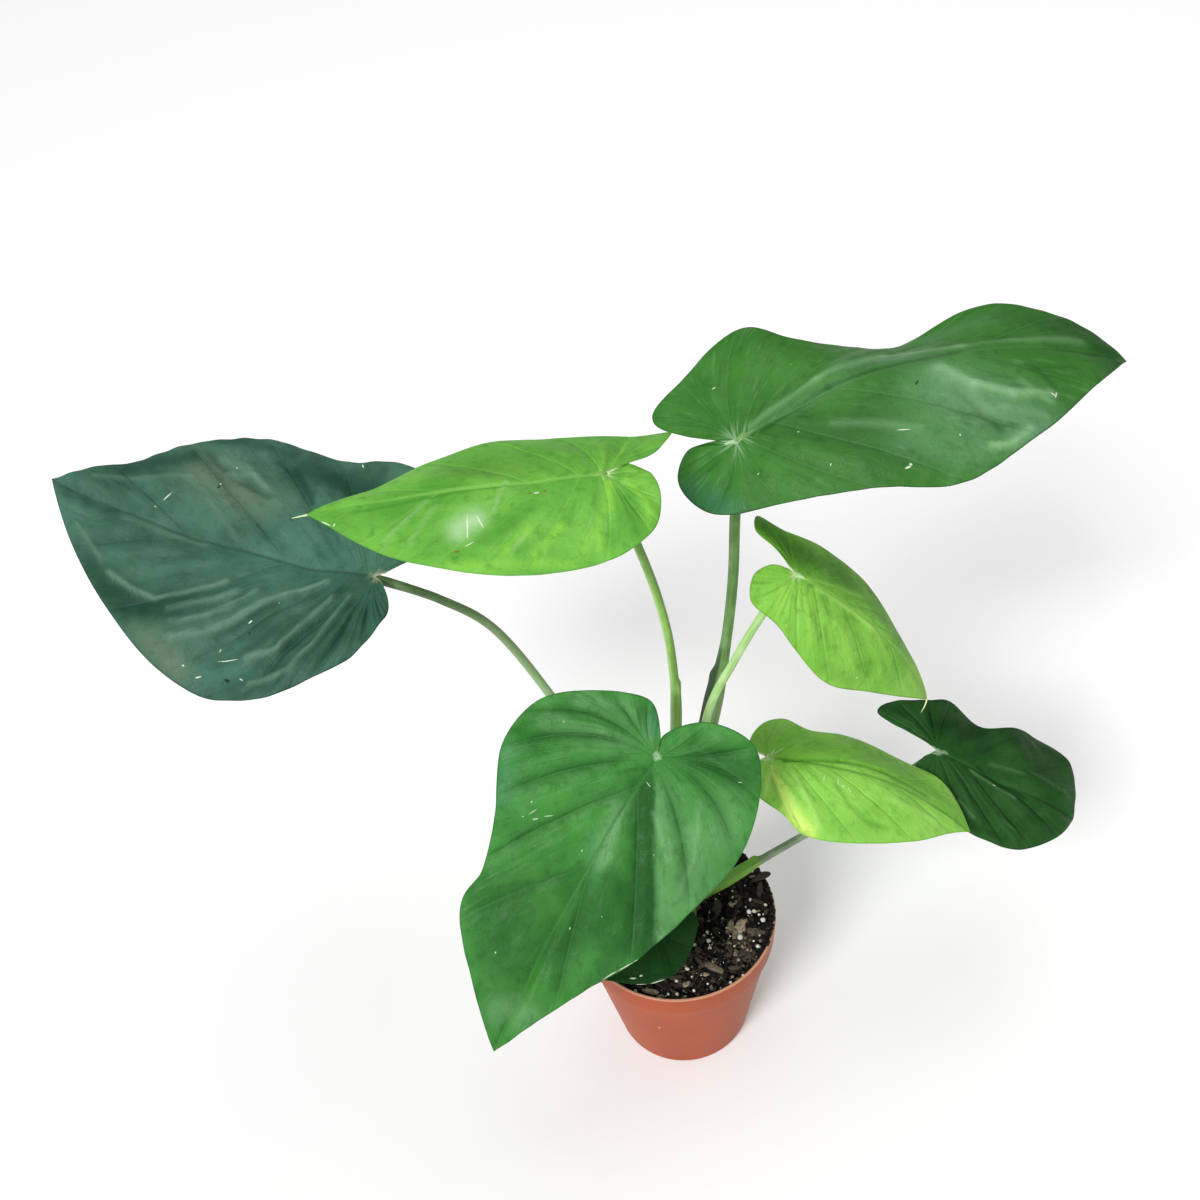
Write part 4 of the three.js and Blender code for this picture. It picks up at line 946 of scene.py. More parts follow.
class Half:
    """One half of a flat blade as a grid: its rows run along the margin, and its columns from the
    midrib out along the veins. It holds each point's place, and its distances from the lines that
    the blade is drawn by."""

    def __init__(self, leaf, sign):
        side = of_half(("left", "right"), sign)
        v = vein_rows(leaf)
        veins = range(MAIN_VEINS + 1)
        place = np.interp(v * MAIN_VEINS, veins, leaf.get(side + "_veins", veins))
        end = through(np.pad(np.array(leaf[side], float), ((1, 1), (0, 0)), "edge"), place)
        beyond = np.maximum(0, (v - BASAL_SHARE) / (1 - BASAL_SHARE))
        start = leaf["length"] * beyond ** leaf["vein_power"]
        samples = np.linspace(0, 1, VEIN_SAMPLES)[None, :, None]
        drawn = vein_curve(start, end, samples, v, leaf["lag"])
        lengths = np.linalg.norm(np.diff(drawn, axis=1), axis=2).sum(1)
        r = stations(lengths, leaf["columns"])
        flat = vein_curve(start, end, r[..., None], v, leaf["lag"])

        self.sign, self.r, self.start = sign, r, start[:, None]
        self.v = np.broadcast_to(v[:, None], r.shape)
        self.along, self.out = flat[..., 0], flat[..., 1]
        self.signed = sign * self.out
        self.run = r * lengths[:, None]
        self.left_over = (1 - r) * lengths[:, None]
        self.reach = np.hypot(self.along, self.out)
        self.to_midrib = np.where(self.along > 0, np.abs(self.out), self.reach)
        self.thin_out = 1 - self.start / leaf["length"]
        over = np.gradient(flat, v, axis=0)
        way = unit(np.gradient(flat, axis=1))
        self.spread = np.abs(over[..., 0] * way[..., 1] - over[..., 1] * way[..., 0])
        notch = np.linalg.norm(flat[:, :, None] - flat[None, :1, :], axis=3).min(2)
        self.edge = np.minimum(self.left_over, notch)
        self.edge[:, 0] = np.minimum(start, leaf["length"] - start)
        self.edge[0] = self.edge[-1] = 0

    def to_veins(self, count):
        """The distance from the nearest of count veins that are evenly set along the margin."""
        place = self.v * count
        return np.abs(place - np.round(place)) * self.spread / count


def stroke(along, signed, width, line):
    """A soft band: exp of minus the squared distance from a line through some points, in half
    widths. A pair of widths is for the left and the right of the line."""
    bands = []
    for start, end in zip(line, line[1:]):
        way = np.subtract(end, start)
        off = np.stack([along, signed], -1) - start
        gone = np.clip(off @ way / max(way @ way, WELD), 0, 1)
        on_left = way[0] * off[..., 1] > way[1] * off[..., 0]
        half = np.where(on_left, *width) if isinstance(width, tuple) else width
        bands.append(np.exp(-((off - gone[..., None] * way) ** 2).sum(-1) / half**2))
    return np.max(bands, axis=0)


def pleats(leaf, half):
    """The relief between the veins. From one main vein to the next it is a half sine or, where the
    pleats aren't sharp, its square, times a drawn fullness. A finer swelling is added, and all of
    it grows with the distance from the midrib. Returns the relief, the fullness and the ridges, the
    last of which the upper face lightens as a painted highlight."""
    seed = len(leaf["name"]) * SEED_STEP + of_half((LEFT_SEED, RIGHT_SEED), half.sign)
    draw = np.random.default_rng(seed)
    out = np.hypot(half.along - half.start, half.out) / leaf["half_width"]
    grown = fade_in(out, FULL_QUILT_REACH) * np.sin(np.pi * half.r) ** PLEAT_ROUNDING
    panel = np.minimum((half.v * MAIN_VEINS).astype(int), MAIN_VEINS - 1)
    fullness = draw.uniform(*PLEAT_FULLNESS, MAIN_VEINS)[panel]
    wave = np.abs(np.sin(np.pi * MAIN_VEINS * half.v))
    quilt = leaf["quilt"] * fade_in(half.spread / MAIN_VEINS, FULL_PANEL)
    relief = quilt * fullness * ((1 - leaf["sharp"]) * wave**2 + leaf["sharp"] * wave) * grown
    fine = np.sin(np.pi * BRANCHES * MAIN_VEINS * half.v) ** 2
    relief = relief + quilt * (of_half(leaf["fine"], half.sign) * fine) * grown
    return relief, fullness, wave**2 * grown


def fold(crease, half):
    """A fold from the stalk to a place: its depth times exp of minus the distance from its line in
    spreads, with a rounded bottom. It grows with the distance from the stalk and the midrib."""
    to = np.array(crease["to"], float)
    span = np.hypot(*to)
    away = (half.along * to[1] - half.out * to[0]) / span / crease["spread"]
    gone = np.maximum(0, half.along * to[0] + half.out * to[1]) / span**2
    off_midrib = np.maximum(0, half.out) / crease["spread"]
    sunk = np.minimum(fade_in(gone, CREASE_START), off_midrib)
    return crease["depth"] * sunk * np.exp(-np.sqrt(away**2 + CREASE_ROUNDING))


def half_surfaces(leaf, look, half):
    """The heights of a half's upper and lower face, and what the finish reads at each point. The
    relief of both is pleats, slow swellings, a gutter along the midrib, a rippled margin, the fold
    and the strokes. The upper face has grooves over the veins, and the lower one ridges."""
    relief, fullness, ridges = pleats(leaf, half)
    relief = relief + leaf["ripple"] * np.sin(2 * np.pi * RIPPLES * half.v) * half.r**3
    for share, *form in SWELLINGS:
        calm = share * leaf["quilt"] * fade_in(half.reach, SWELLING_FADE)
        relief = relief + calm * lumps(half.along, half.signed, *form)
    gutter = GUTTER_DEPTH * half.thin_out * fade_in(half.reach, GUTTER_FADE)
    relief = relief - gutter * bell(half.to_midrib, GUTTER)
    if "crease" in leaf and leaf["crease"]["side"] == half.sign:
        relief = relief - fold(leaf["crease"], half)
    tints = dict.fromkeys(TINTS, 0 * half.along)
    for tint in TINTS:
        for strength, height, width, *line in look.get(tint + "_strokes", []):
            band = stroke(half.along, half.signed, width, line)
            tints[tint] = 1 - (1 - tints[tint]) * (1 - strength * band)
            relief = relief + height * band

    to_main, to_branch = half.to_veins(MAIN_VEINS), half.to_veins(BRANCHES * MAIN_VEINS)
    shown = fade_in(half.run, VEIN_FADE) * fade_in(half.left_over, VEIN_END_FADE)
    vein = bell(to_main, VEIN_GROOVE[1]) * shown
    midrib = bell(half.to_midrib, MIDRIB_GROOVE[1]) * np.minimum(1, MIDRIB_AT_TIP + half.thin_out)
    keel = bell(half.to_midrib, MIDRIB_KEEL[1]) * half.thin_out
    rim = fade_in(half.edge, EDGE_ROUNDING)
    round_off = np.sqrt(1 - (1 - rim) ** 2)
    middle = relief - BLADE_THICKNESS / 2
    groove = VEIN_GROOVE[0] * vein + MIDRIB_GROOVE[0] * midrib
    upper = middle + (BLADE_THICKNESS / 2 - groove) * round_off
    ridge = VEIN_RIDGE * vein + MIDRIB_KEEL[0] * keel
    lower = middle - (BLADE_THICKNESS / 2 + ridge) * round_off
    # The strength of the painted shade in the valleys over the main veins
    valley = np.exp(-to_main / VALLEY_WIDTH) * fade_in(half.run, VALLEY_FADE)
    valley = valley * fade_in(half.left_over, VALLEY_END_FADE) * of_half(leaf["groove"], half.sign)
    valley = valley * smooth_step(half.reach, VALLEYS_FROM, VALLEYS_FULL)
    flat = 0 * half.along
    seen = {
        "place": (half.along, half.signed, flat),
        "veins": (to_main, to_branch, half.to_midrib),
        "grain": (half.v * MAIN_VEINS + STREAK_SHIFT * half.sign, half.run, half.reach),
        "rims": (half.edge, half.r, 1 - half.thin_out + flat),
        "pleats": (valley * fullness, ridges, flat),
        "tints": [tints[tint] for tint in TINTS[:3]],
        "hues": [tints[tint] for tint in TINTS[3:]],
    }
    return upper, lower, {key: np.stack(value, -1) for key, value in seen.items()}


def thread(leaf):
    """The drip tip: a fine thread that runs on from the blade's tip by three lengths: forward,
    aside and down, the last two growing with a power of the share of its length."""
    on, aside, down = leaf["thread"]
    t = np.linspace(0, 1, THREAD_SECTIONS)[:, None]
    turn = np.linspace(0, 2 * np.pi, THREAD_SIDES + 1)[None]
    girth = THREAD_RADIUS * np.sqrt(np.clip(1 - t**4, 0, 1)) * (1 - 0.5 * t)
    girth[0] = 0
    forward = leaf["length"] - THREAD_OVERLAP + (on + THREAD_OVERLAP) * t
    middle = np.concatenate([forward, aside * t**THREAD_ASIDE_POWER], 1)
    way = unit(np.gradient(middle, axis=0))
    along = middle[:, :1] - girth * np.cos(turn) * way[:, 1:]
    signed = middle[:, 1:] + girth * np.cos(turn) * way[:, :1]
    lift = -BLADE_THICKNESS / 2 - down * t**THREAD_DROP_POWER + girth * np.sin(turn)
    return along, signed, lift


def make_blade(leaf, look):
    """Both halves of a blade, each with an upper and a lower face, joined at midrib and margin."""
    sheets = []
    for sign in (1, -1):
        half = Half(leaf, sign)
        upper, lower, seen = half_surfaces(leaf, look, half)
        sheets.append((half.along, half.signed, upper, 0, sign < 0, seen))
        sheets.append((half.along, half.signed, lower, 1, sign > 0, seen))
    if "thread" in leaf:
        along, signed, drop = thread(leaf)
        plain = {key: np.zeros((along.size, 3)) for key in seen}
        sheets.append((along, signed, drop, 0, True, plain))
    points, faces, under = [], [], []
    count = 0
    for along, signed, lift, is_under, flip, _ in sheets:
        points.append(bent(leaf, along, signed, lift).reshape(-1, 3))
        faces.append(grid_faces(*along.shape, flip) + count)
        under.append(np.full(len(faces[-1]), is_under))
        count += along.size
    values = {
        key: np.concatenate([sheet[-1][key].reshape(-1, 3) for sheet in sheets]) for key in seen
    }
    tones = dict(zip(BLADE_TONES, look["tones"].split()))
    finishes = [upper_face(leaf["name"], look, tones), under_face(leaf["name"], look, tones)]
    return make_piece(
        "blade_" + leaf["name"] + "_leaf", np.concatenate(points), np.concatenate(faces), finishes,
        leaf["slot"], "blade_" + leaf["name"], np.concatenate(under), values,
    )


def marked(finish, place, marks, wobble):
    """How far a point lies in any of some marks, each an ellipse with a broken edge."""
    found = []
    for along, across, long, wide, turn in marks:
        in_mark = finish.node("Mapping", "Vector", {"vector_type": "TEXTURE"}, {
            "Vector": place, "Location": (along, across, 0), "Scale": (long, wide, 1),
            "Rotation": (0, 0, math.radians(turn)),
        })
        away = finish.node("VectorMath", "Value", {"operation": "LENGTH"}, {0: in_mark})
        found.append(finish.between(away + wobble, 1.15, 0.55))
    return functools.reduce(Amount.most, found)


def upper_face(name, look, tones):
    """The upper face: clouded ground with soft tints, streaks along the veins, painted shade in the
    valleys and painted highlight on the pleats between them, a pale fan of fine veins at the stalk, a
    rim, and small marks. The tints are partly painted shade, highlight, reflection and light shining
    through the blade."""
    finish = Finish("upper_" + name, IOR=1.45, Specular_IOR_Level=look["shine"])
    between = finish.between
    place = finish.vector("place")
    grain = finish.vector("grain")
    to_main, to_branch, to_midrib = finish.split(finish.vector("veins"))
    _, run, reach = finish.split(grain)
    edge, _, near_tip = finish.split(finish.vector("rims"))
    valley, ridge, _ = finish.split(finish.vector("pleats"))
    pale, deep, fresh = finish.split(finish.vector("tints"))
    cool, dusk, painted_sheen = finish.split(finish.vector("hues"))
    clouds = finish.noise(place, 0.03, 3, 0.5)
    mottle = finish.noise(place, 0.16, 4, 0.6)
    streaks = finish.noise(finish.stretched(grain, (3.2, 0.035, 0)), 1, 4, 0.6)
    fine_streaks = finish.noise(finish.stretched(grain, (9, 0.05, 0)), 1, 3, 0.6)
    broken = 0.55 + 0.9 * (mottle * 0.5 + streaks * 0.5)
    midrib = between(to_midrib, 1.6, 0.3) * between(near_tip, 1.05, 0.5)
    vein = between(to_main, 0.9, 0.2)
    lines = vein.most(between(fine_streaks, 0.52, 0.6) * 0.6).most(midrib)
    fan = between(reach, look["fan"], 2)
    notch = between(edge, 1.1, 0.4) * between(reach, 10, 4)
    coats = [
        (between(clouds, 0.36, 0.64), tones["light"]),
        (dusk * broken, tones["dusk"]),
        (cool * broken, tones["cool"]),
        # Painted reflection of the lights
        (painted_sheen * broken, tones["painted_sheen"]),
        # Partly painted light shining through the blade, on lower_right and middle
        (fresh * broken, tones["fresh"]),
        (between(mottle, 0.5, 0.72) * look["mottle"], tones["deep"]),
        # Painted highlight on the crests of the pleats
        (ridge * 0.3, tones["light"]),
        (between(streaks, 0.5, 0.75) * 0.4, tones["light"]),
        (between(streaks, 0.47, 0.28) * 0.4, tones["deep"]),
        (between(fine_streaks, 0.55, 0.75) * 0.18, tones["pale"]),
        # Painted shade in the valleys over the main veins
        (valley * broken * 0.85, tones["valley"]),
        # Partly painted shade in creases and over the far halves
        (deep * broken, tones["deep"]),
        # Partly painted highlight along ridges and wrinkles
        (pale * broken * broken, tones["pale"]),
        (midrib * 0.55, look.get("midrib", tones["vein"])),
        (vein * look["line"], tones["vein"]),
        (fan * lines * 0.4, tones["centre"]),
        (between(reach, 2.4, 0.6) * 0.8, tones["centre"]),
        (between(edge, 0.9, 0.3) * 0.6, tones["rim"]),
        (notch * 0.8, tones["centre"]),
    ]
    if look["dust"]:
        specks = finish.cells(place, 0.045)
        coats.append((between(specks, 0.026, 0.012) * look["dust"], DUST))
    wobble = (finish.noise(place, 1.1, 2, 0.6) - 0.5) * 0.8
    for kind, tone in MARKS.items():
        if kind in look:
            coats.append((marked(finish, place, look[kind], wobble) * 0.85, tone))

    rough = 0.46 + 0.2 * (mottle - 0.5) - 0.1 * painted_sheen
    tissue = between(finish.cells(place, 0.55, "DISTANCE_TO_EDGE"), 0, 0.12)
    branch = between(to_branch, 0.9, 0.1) * 0.1 * between(run, 2, 9)
    height = finish.noise(place, 1.6, 3, 0.6) * 0.05 + tissue * 0.05 - branch
    height = height + streaks * 0.7 + mottle * 0.9
    colour = finish.coated(tones["ground"], coats)
    finish.feed(Base_Color=colour, Roughness=rough, Normal=finish.bump(height, 1.0, 0.9))
    return finish


def under_face(name, look, tones):
    """The paler, duller underside, with raised veins."""
    finish = Finish("under_" + name, IOR=1.4)
    between = finish.between
    place = finish.vector("place")
    to_main, to_branch, to_midrib = finish.split(finish.vector("veins"))
    mottle = finish.noise(place, 0.1, 4, 0.6)
    line = between(to_main, 1.4, 0.3).most(between(to_midrib, 2.2, 0.8))
    tissue = between(finish.cells(place, 0.5, "DISTANCE_TO_EDGE"), 0.15, 0)
    height = tissue * 0.08 + between(to_branch, 0.8, 0.1) * 0.2
    coats = [(between(mottle, 0.3, 0.7), tones["light"]), (line * 0.7, tones["centre"])]
    finish.feed(
        Base_Color=finish.coated(look["under"], coats), Roughness=0.55 + 0.12 * mottle,
        Normal=finish.bump(height, 1.0, 0.8),
    )
    return finish


def stalk_line(leaf):
    """The stalk's middle line by even steps: upright out of the mix, along its route, up to the
    blade and then a little way under the midrib, where it thins out into the keel. Returns its
    places and its length."""
    forward, _, up = blade_axes(leaf)
    angle = math.radians(leaf["foot"])
    foot = CROWN + STALK_CIRCLE_RADIUS * np.array([math.cos(angle), math.sin(angle)])
    attach = np.array(leaf["attach"], float)
    neck = attach - up * (leaf["neck"] + NECK_GAP + leaf["tuck"])
    keel = attach + forward * KEEL_RUN - up * (KEEL_DROP + 2 * leaf["tuck"])
    points = [(*foot, STALK_FOOT), (*foot, STALK_UPRIGHT_TO), *leaf["route"], neck, keel]
    points = np.array(points, float)
    points = np.concatenate([[2 * points[0] - points[1]], points, [2 * points[-1] - points[-2]]])
    line = through(points, np.linspace(0, len(points) - 3, STALK_SAMPLES))
    gone = np.concatenate([[0], np.cumsum(np.linalg.norm(np.diff(line, axis=0), axis=1))])
    even = np.linspace(0, gone[-1], STALK_SECTIONS + 1)
    return np.stack([np.interp(even, gone, line[:, i]) for i in range(3)], 1), gone[-1]


def stalk_radius(leaf, share, length):
    """The stalk's radius along it: that of its neck, plus a taper that falls with a power of the
    share that is left, the sheath's widening and a flare. It is then times a bell that swells it a
    little below the blade, and times a smooth step that thins it out under the midrib."""
    sheathed = 1 - smooth_step(share, leaf["sheath"] - SHEATH_END_SHARE, leaf["sheath"])
    taper = (STALK_BASE_RADIUS - SHEATH_WIDENING - leaf["neck"]) * (1 - share) ** STALK_TAPER
    flare = smooth_step(share, FLARE_FROM, FLARE_FULL)
    flare = flare * (1 - smooth_step(share, FLARE_UNTIL, FLARE_GONE))
    radius = leaf["neck"] + SHEATH_WIDENING * sheathed + taper + leaf["flare"] * flare
    to_end = length - share * length
    thin = KEEL_TIP_SHARE + (1 - KEEL_TIP_SHARE) * smooth_step(to_end, 0, KEEL_FADE)
    return radius * thin * (1 + SWELL * bell(SWELL_BELOW_BLADE - to_end, SWELL_SPREAD))


def make_stalk(leaf):
    """A round stalk. Its section is a circle, less a bell for the shallow channel on its inner
    face, plus a bell on each side of that for the thin wings of the sheath, which is its lower
    part. The wings end in small points."""
    line, length = stalk_line(leaf)
    share = np.linspace(0, 1, STALK_SECTIONS + 1)[:, None]
    tangent = unit(np.gradient(line, axis=0))
    outward = line[-1, :2] - line[0, :2]
    side = np.array([-outward[1], outward[0], 0]) / np.hypot(*outward)
    side = unit(side - tangent * (tangent @ side)[:, None])
    inner = np.cross(tangent, side)
    turn = np.linspace(-np.pi, np.pi, STALK_SIDES + 1)[None]
    radius = stalk_radius(leaf, share, length)
    wing = 1 - smooth_step(share, leaf["sheath"] - WING_END_SHARE, leaf["sheath"])
    point = bell(share - leaf["sheath"] + WING_POINT_BACK, WING_POINT_SHARE)
    wing = leaf["wing"] * wing + WING_POINT * point
    wing = wing * bell(np.abs(turn) - WING_TURN, WING_WIDTH)
    ring = radius + wing - CHANNEL_DEPTH * bell(turn, CHANNEL_WIDTH) * radius
    ring[0] = ring[-1] = 0
    out = np.cos(turn)[..., None] * inner[:, None] + np.sin(turn)[..., None] * side[:, None]
    points = line[:, None] + ring[..., None] * out
    # The last column closes the ring, so its points are those of the first.
    points[:, -1] = points[:, 0]
    full = np.zeros(ring.shape)
    round_it = STALK_PATTERN_RADIUS * np.sin(turn), STALK_PATTERN_RADIUS * np.cos(turn)
    values = {
        "place": np.stack([round_it[0] + full, round_it[1] + full, share * length + full], -1),
        "parts": np.stack([share + full, wing, out[..., 0]], -1),
    }
    return make_piece(
        "stalk_" + leaf["name"] + "_leaf", points.reshape(-1, 3), grid_faces(*ring.shape),
        [stalk_finish(leaf)], leaf["stalk_slot"], "stalk_" + leaf["name"], None,
        {key: value.reshape(-1, 3) for key, value in values.items()},
    )


def stalk_finish(leaf):
    """A stalk: fine stripes along it, a paler sheath and wings, and side bands, which are mostly
    painted highlight and painted shade.
    """
    finish = Finish("stalk_" + leaf["name"], IOR=1.42)
    between = finish.between
    deep, ground, light, *foot = STALK_LOOKS[leaf["name"]]
    place = finish.vector("place")
    share, wing, facing = finish.split(finish.vector("parts"))
    stripes = finish.noise(finish.stretched(place, (1, 1, 0.03)), 1.3, 4, 0.65)
    cloud = finish.noise(place, 0.08, 3, 0.5)
    coats = [(between(stripes, 0.35, 0.65), ground), (between(cloud, 0.45, 0.7) * 0.7, light)]
    for tone in foot:
        coats.append((between(share, 0.9, 0.62) * 0.85, tone))
    coats.append((between(wing, 0.25, 0.8) * 0.6, light))
    # Side bands: mostly painted highlight on one side of a stalk and painted shade on the other
    for tint, low, high, start, stop, strength in STALK_SIDE_TINTS.get(leaf["name"], []):
        side = between(facing, low, high) * between(share, start, stop)
        coats.append((side * strength, tint))
    if "sheath_colour" in leaf:
        cover = between(share, leaf["sheath"] + 0.01, leaf["sheath"] - 0.02)
        coats.append((cover, leaf["sheath_colour"]))
    finish.feed(
        Base_Color=finish.coated(deep, coats), Roughness=0.38 + 0.2 * stripes,
        Normal=finish.bump(stripes, 0.25, 0.8),
    )
    return finish


def rounded(profile, sizes, steps=5):
    """A profile whose corners are eased: each becomes a quadratic curve that starts and ends at its
    size from the corner."""
    profile = np.array(profile, float)
    t = np.linspace(0, 1, steps)[:, None]
    made = []
    for i, (corner, size) in enumerate(zip(profile, sizes)):
        if not size:
            made.append(corner[None])
            continue
        ends = []
        for other in (profile[i - 1], profile[i + 1]):
            reach = np.linalg.norm(other - corner)
            ends.append(corner + (other - corner) * min(size, EASING_LIMIT * reach) / reach)
        made.append((1 - t) ** 2 * ends[0] + 2 * t * (1 - t) * corner + t**2 * ends[1])
    return np.concatenate(made)


def lathe(profile, sides, centre=(0, 0)):
    """A profile of (radius, height) points carried round an upright axis through a centre."""
    profile = np.array(profile, float)
    angle = np.linspace(0, 2 * np.pi, sides + 1)
    angle[-1] = 0
    x, y = profile[:, :1] * np.cos(angle), profile[:, :1] * np.sin(angle)
    points = np.stack([x + centre[0], y + centre[1], profile[:, 1:] + 0 * x], -1)
    return points.reshape(-1, 3), grid_faces(len(profile), sides + 1, flip=True)


def cut_hole(piece, place, radius, low, high):
    """Cuts an upright round hole through a piece."""
    profile = [(0, low), (radius, low), (radius, high), (0, high)]
    points, faces = lathe(profile, DRAIN_HOLE_SIDES, place)
    kept, faces, _ = welded(points, faces)
    drill = put_in_scene("drill", new_mesh("drill", points[kept], faces))
    cut = piece.modifiers.new("drill", "BOOLEAN")
    cut.operation = "DIFFERENCE"
    cut.solver = "MANIFOLD"
    cut.object = drill
    bpy.context.view_layer.update()
    cut_piece = piece.evaluated_get(bpy.context.evaluated_depsgraph_get())
    done = bpy.data.meshes.new_from_object(cut_piece)
    piece.modifiers.clear()
    piece.data = done
    bpy.data.objects.remove(drill)


def make_pot():
    """The pot: a flat base, a rounded corner, a tapered wall and a stepped rim band with a thin
    lip. It is one wall thick all over, with drain holes in its base."""
    foot = (POT_BASE_RADIUS - POT_CORNER, 0)
    angle = np.linspace(0, np.pi / 2, POT_CORNER_STEPS)[:, None]
    arc = np.concatenate([np.sin(angle), 1 - np.cos(angle)], 1)
    outer_corner = arc * POT_CORNER + foot
    inner_corner = arc * (POT_CORNER - POT_WALL) + foot + (0, POT_WALL)
    lip_inside = POT_RIM_RADIUS - POT_WALL
    walls = [
        outer_corner[-1], (WALL_TOP_RADIUS, WALL_TOP),
        (POT_RIM_RADIUS - RIM_DRAFT, WALL_TOP + RIM_BEVEL),
        (POT_RIM_RADIUS, POT_HEIGHT - RIM_BEVEL), (POT_RIM_RADIUS - LIP_SLOPE, POT_HEIGHT),
        (lip_inside, POT_HEIGHT), (lip_inside, POT_HEIGHT - RIM_BEVEL),
        (INSIDE_RIM, WALL_TOP + 2 * RIM_BEVEL), (WALL_TOP_RADIUS - POT_WALL, WALL_TOP),
        inner_corner[-1],
    ]
    profile = np.concatenate([
        [(0, 0)], outer_corner[:-1], rounded(walls, POT_EASING), inner_corner[::-1][1:],
        [(0, POT_WALL)],
    ])
    # Rings at even heights, so that no wall face is a long sliver
    parts = []
    for start, end in zip(profile, profile[1:]):
        rings = max(1, int(np.linalg.norm(end - start) / POT_RING_STEP))
        parts.append(start + (end - start) * np.linspace(0, 1, rings, endpoint=False)[:, None])
    points, faces = lathe(np.concatenate([*parts, profile[-1:]]), POT_SIDES)
    finish = pot_finish()
    pot = make_piece(
        "nursery_pot", points, faces, [finish], "terracotta_plastic", "pot", sharp=POT_SHARP_FROM,
    )
    for hole in range(DRAIN_HOLES):
        way = hole / DRAIN_HOLES * 2 * np.pi
        place = DRAIN_CIRCLE_RADIUS * np.array([np.cos(way), np.sin(way)])
        cut_hole(pot, place, DRAIN_HOLE_RADIUS, -POT_WALL, 2 * POT_WALL)
    pot.data.name = pot.name
    return pot


def pot_finish():
    """Satin terracotta plastic: faintly clouded, with a painted highlight along its lip, fine scuffs
    and one pale speck."""
    finish = Finish("terracotta_plastic_satin", IOR=1.46, Specular_IOR_Level=0.25)
    between = finish.between
    place = finish.place()
    cloud = finish.noise(place, 22, 3, 0.5)
    fine = finish.noise(place, 900, 3, 0.6)
    scuffs = finish.noise(finish.stretched(place, (1, 1, 0.25)), 140, 4, 0.7)
    _, _, height = finish.split(place)
    # Painted highlight: a pale line along the top of the lip
    lip = between(height, (POT_HEIGHT - 1.2) * MM, (POT_HEIGHT - 0.3) * MM)
    speck = finish.node("VectorMath", "Value", {"operation": "DISTANCE"}, {0: place, 1: POT_SPECK})
    colour = finish.coated("a2451f", [
        (between(cloud, 0.3, 0.7), "ae5028"), (lip * 0.8, "dda488"),
        (between(scuffs, 0.62, 0.8) * 0.3, "bc6c48"), (between(speck, 0.9 * MM, 0.5 * MM), "f0d8c4"),
    ])
    rough = 0.46 + 0.16 * (cloud - 0.5) + 0.1 * (fine - 0.5)
    finish.feed(Base_Color=colour, Roughness=rough, Normal=finish.bump(fine, 0.06, 0.6))
    return finish


def make_stem():
    """The short stem: a lathe with two swollen rings."""
    points, faces = lathe(rounded(STEM_PROFILE, STEM_EASING, 7), STEM_SIDES, CROWN)
    finish = Finish("stem_skin")
    rings = finish.noise(finish.stretched(finish.place(), (1, 1, 6)), 120, 4, 0.6)
    colour = finish.coated("5c7a38", [(finish.between(rings, 0.35, 0.65), "86a656")])
    normal = finish.bump(rings, 0.4, 0.8)
    finish.feed(Base_Color=colour, Roughness=0.5 + 0.2 * rings, Normal=normal)
    return make_piece("stem_skin", points, faces, [finish], "stem_green", "stem")


def soil_height(x, y):
    """The height of the mix: a mound round the crown, a rise to the back right with a bank and a
    heap at the rim, and low ripples."""
    crown = np.hypot(x - CROWN[0], y - CROWN[1])
    back = np.maximum(0, (x + y) / (2 * POT_RIM_RADIUS))
    heap = np.hypot(x - HEAP_AT[0], y - HEAP_AT[1])
    around = (np.degrees(np.arctan2(y, x)) - BANK_AT) / BANK_SPREAD
    bank = smooth_step(np.hypot(x, y) / POT_RIM_RADIUS, 0.5, 0.95) * np.exp(-around**4)
    ripple = np.sin(x * RIPPLE_PITCH[0] + RIPPLE_PHASE[0])
    ripple = ripple * np.cos(y * RIPPLE_PITCH[1] + RIPPLE_PHASE[1])
    return (
        SOIL_LEVEL + SOIL_CROWN_RISE * bell(crown, SOIL_CROWN_SPREAD) + SOIL_BACK_RISE * back**2
        + HEAP_RISE * bell(heap, HEAP_SPREAD) + BANK_RISE * bank + SOIL_RIPPLE * ripple
    )


def on_mix(x, y, lift=0):
    """Places at a height over the mix."""
    return np.stack([x, y, soil_height(x, y) + lift], -1)


def wall_inside(height):
    """The radius of the pot's inner wall below its rim band."""
    share = (height - POT_CORNER) / (WALL_TOP - POT_CORNER)
    return POT_BASE_RADIUS + (WALL_TOP_RADIUS - POT_BASE_RADIUS) * share - POT_WALL - FIT_GAP


def make_bed():
    """The body of the mix: it follows the pot's wall, and its top is crumbly, which is two sizes of
    lumps, and ridges that are the size of a third kind of lump without its sign."""
    in_band = INSIDE_RIM - FIT_GAP
    radii = np.concatenate([[0], np.linspace(1, in_band, BED_RINGS)])
    angle = np.linspace(0, 2 * np.pi, BED_SIDES + 1)
    angle[-1] = 0
    x, y = radii[:, None] * np.cos(angle), radii[:, None] * np.sin(angle)
    rough = sum(height * lumps(x, y, *form) for height, *form in BED_LUMPS)
    rough = rough + BED_RIDGES[0] * np.abs(lumps(x, y, *BED_RIDGES[1:]))
    rings = [on_mix(x, y, rough - BED_SUNK)]
    sides = [
        (in_band, WALL_TOP + BED_TOP_BAND), (wall_inside(WALL_TOP), WALL_TOP - 1),
        (wall_inside(POT_CORNER), POT_CORNER + FIT_GAP),
        (POT_BASE_RADIUS - POT_CORNER, POT_WALL + FIT_GAP), (0, POT_WALL + FIT_GAP),
    ]
    for radius, height in sides:
        ring = [radius * np.cos(angle), radius * np.sin(angle), height + 0 * angle]
        rings.append(np.stack(ring, -1)[None])
    points = np.concatenate(rings)
    faces = grid_faces(*points.shape[:2])
    make_piece("mix_bed", points.reshape(-1, 3), faces, [mix_finish()], "potting_mix", "soil")


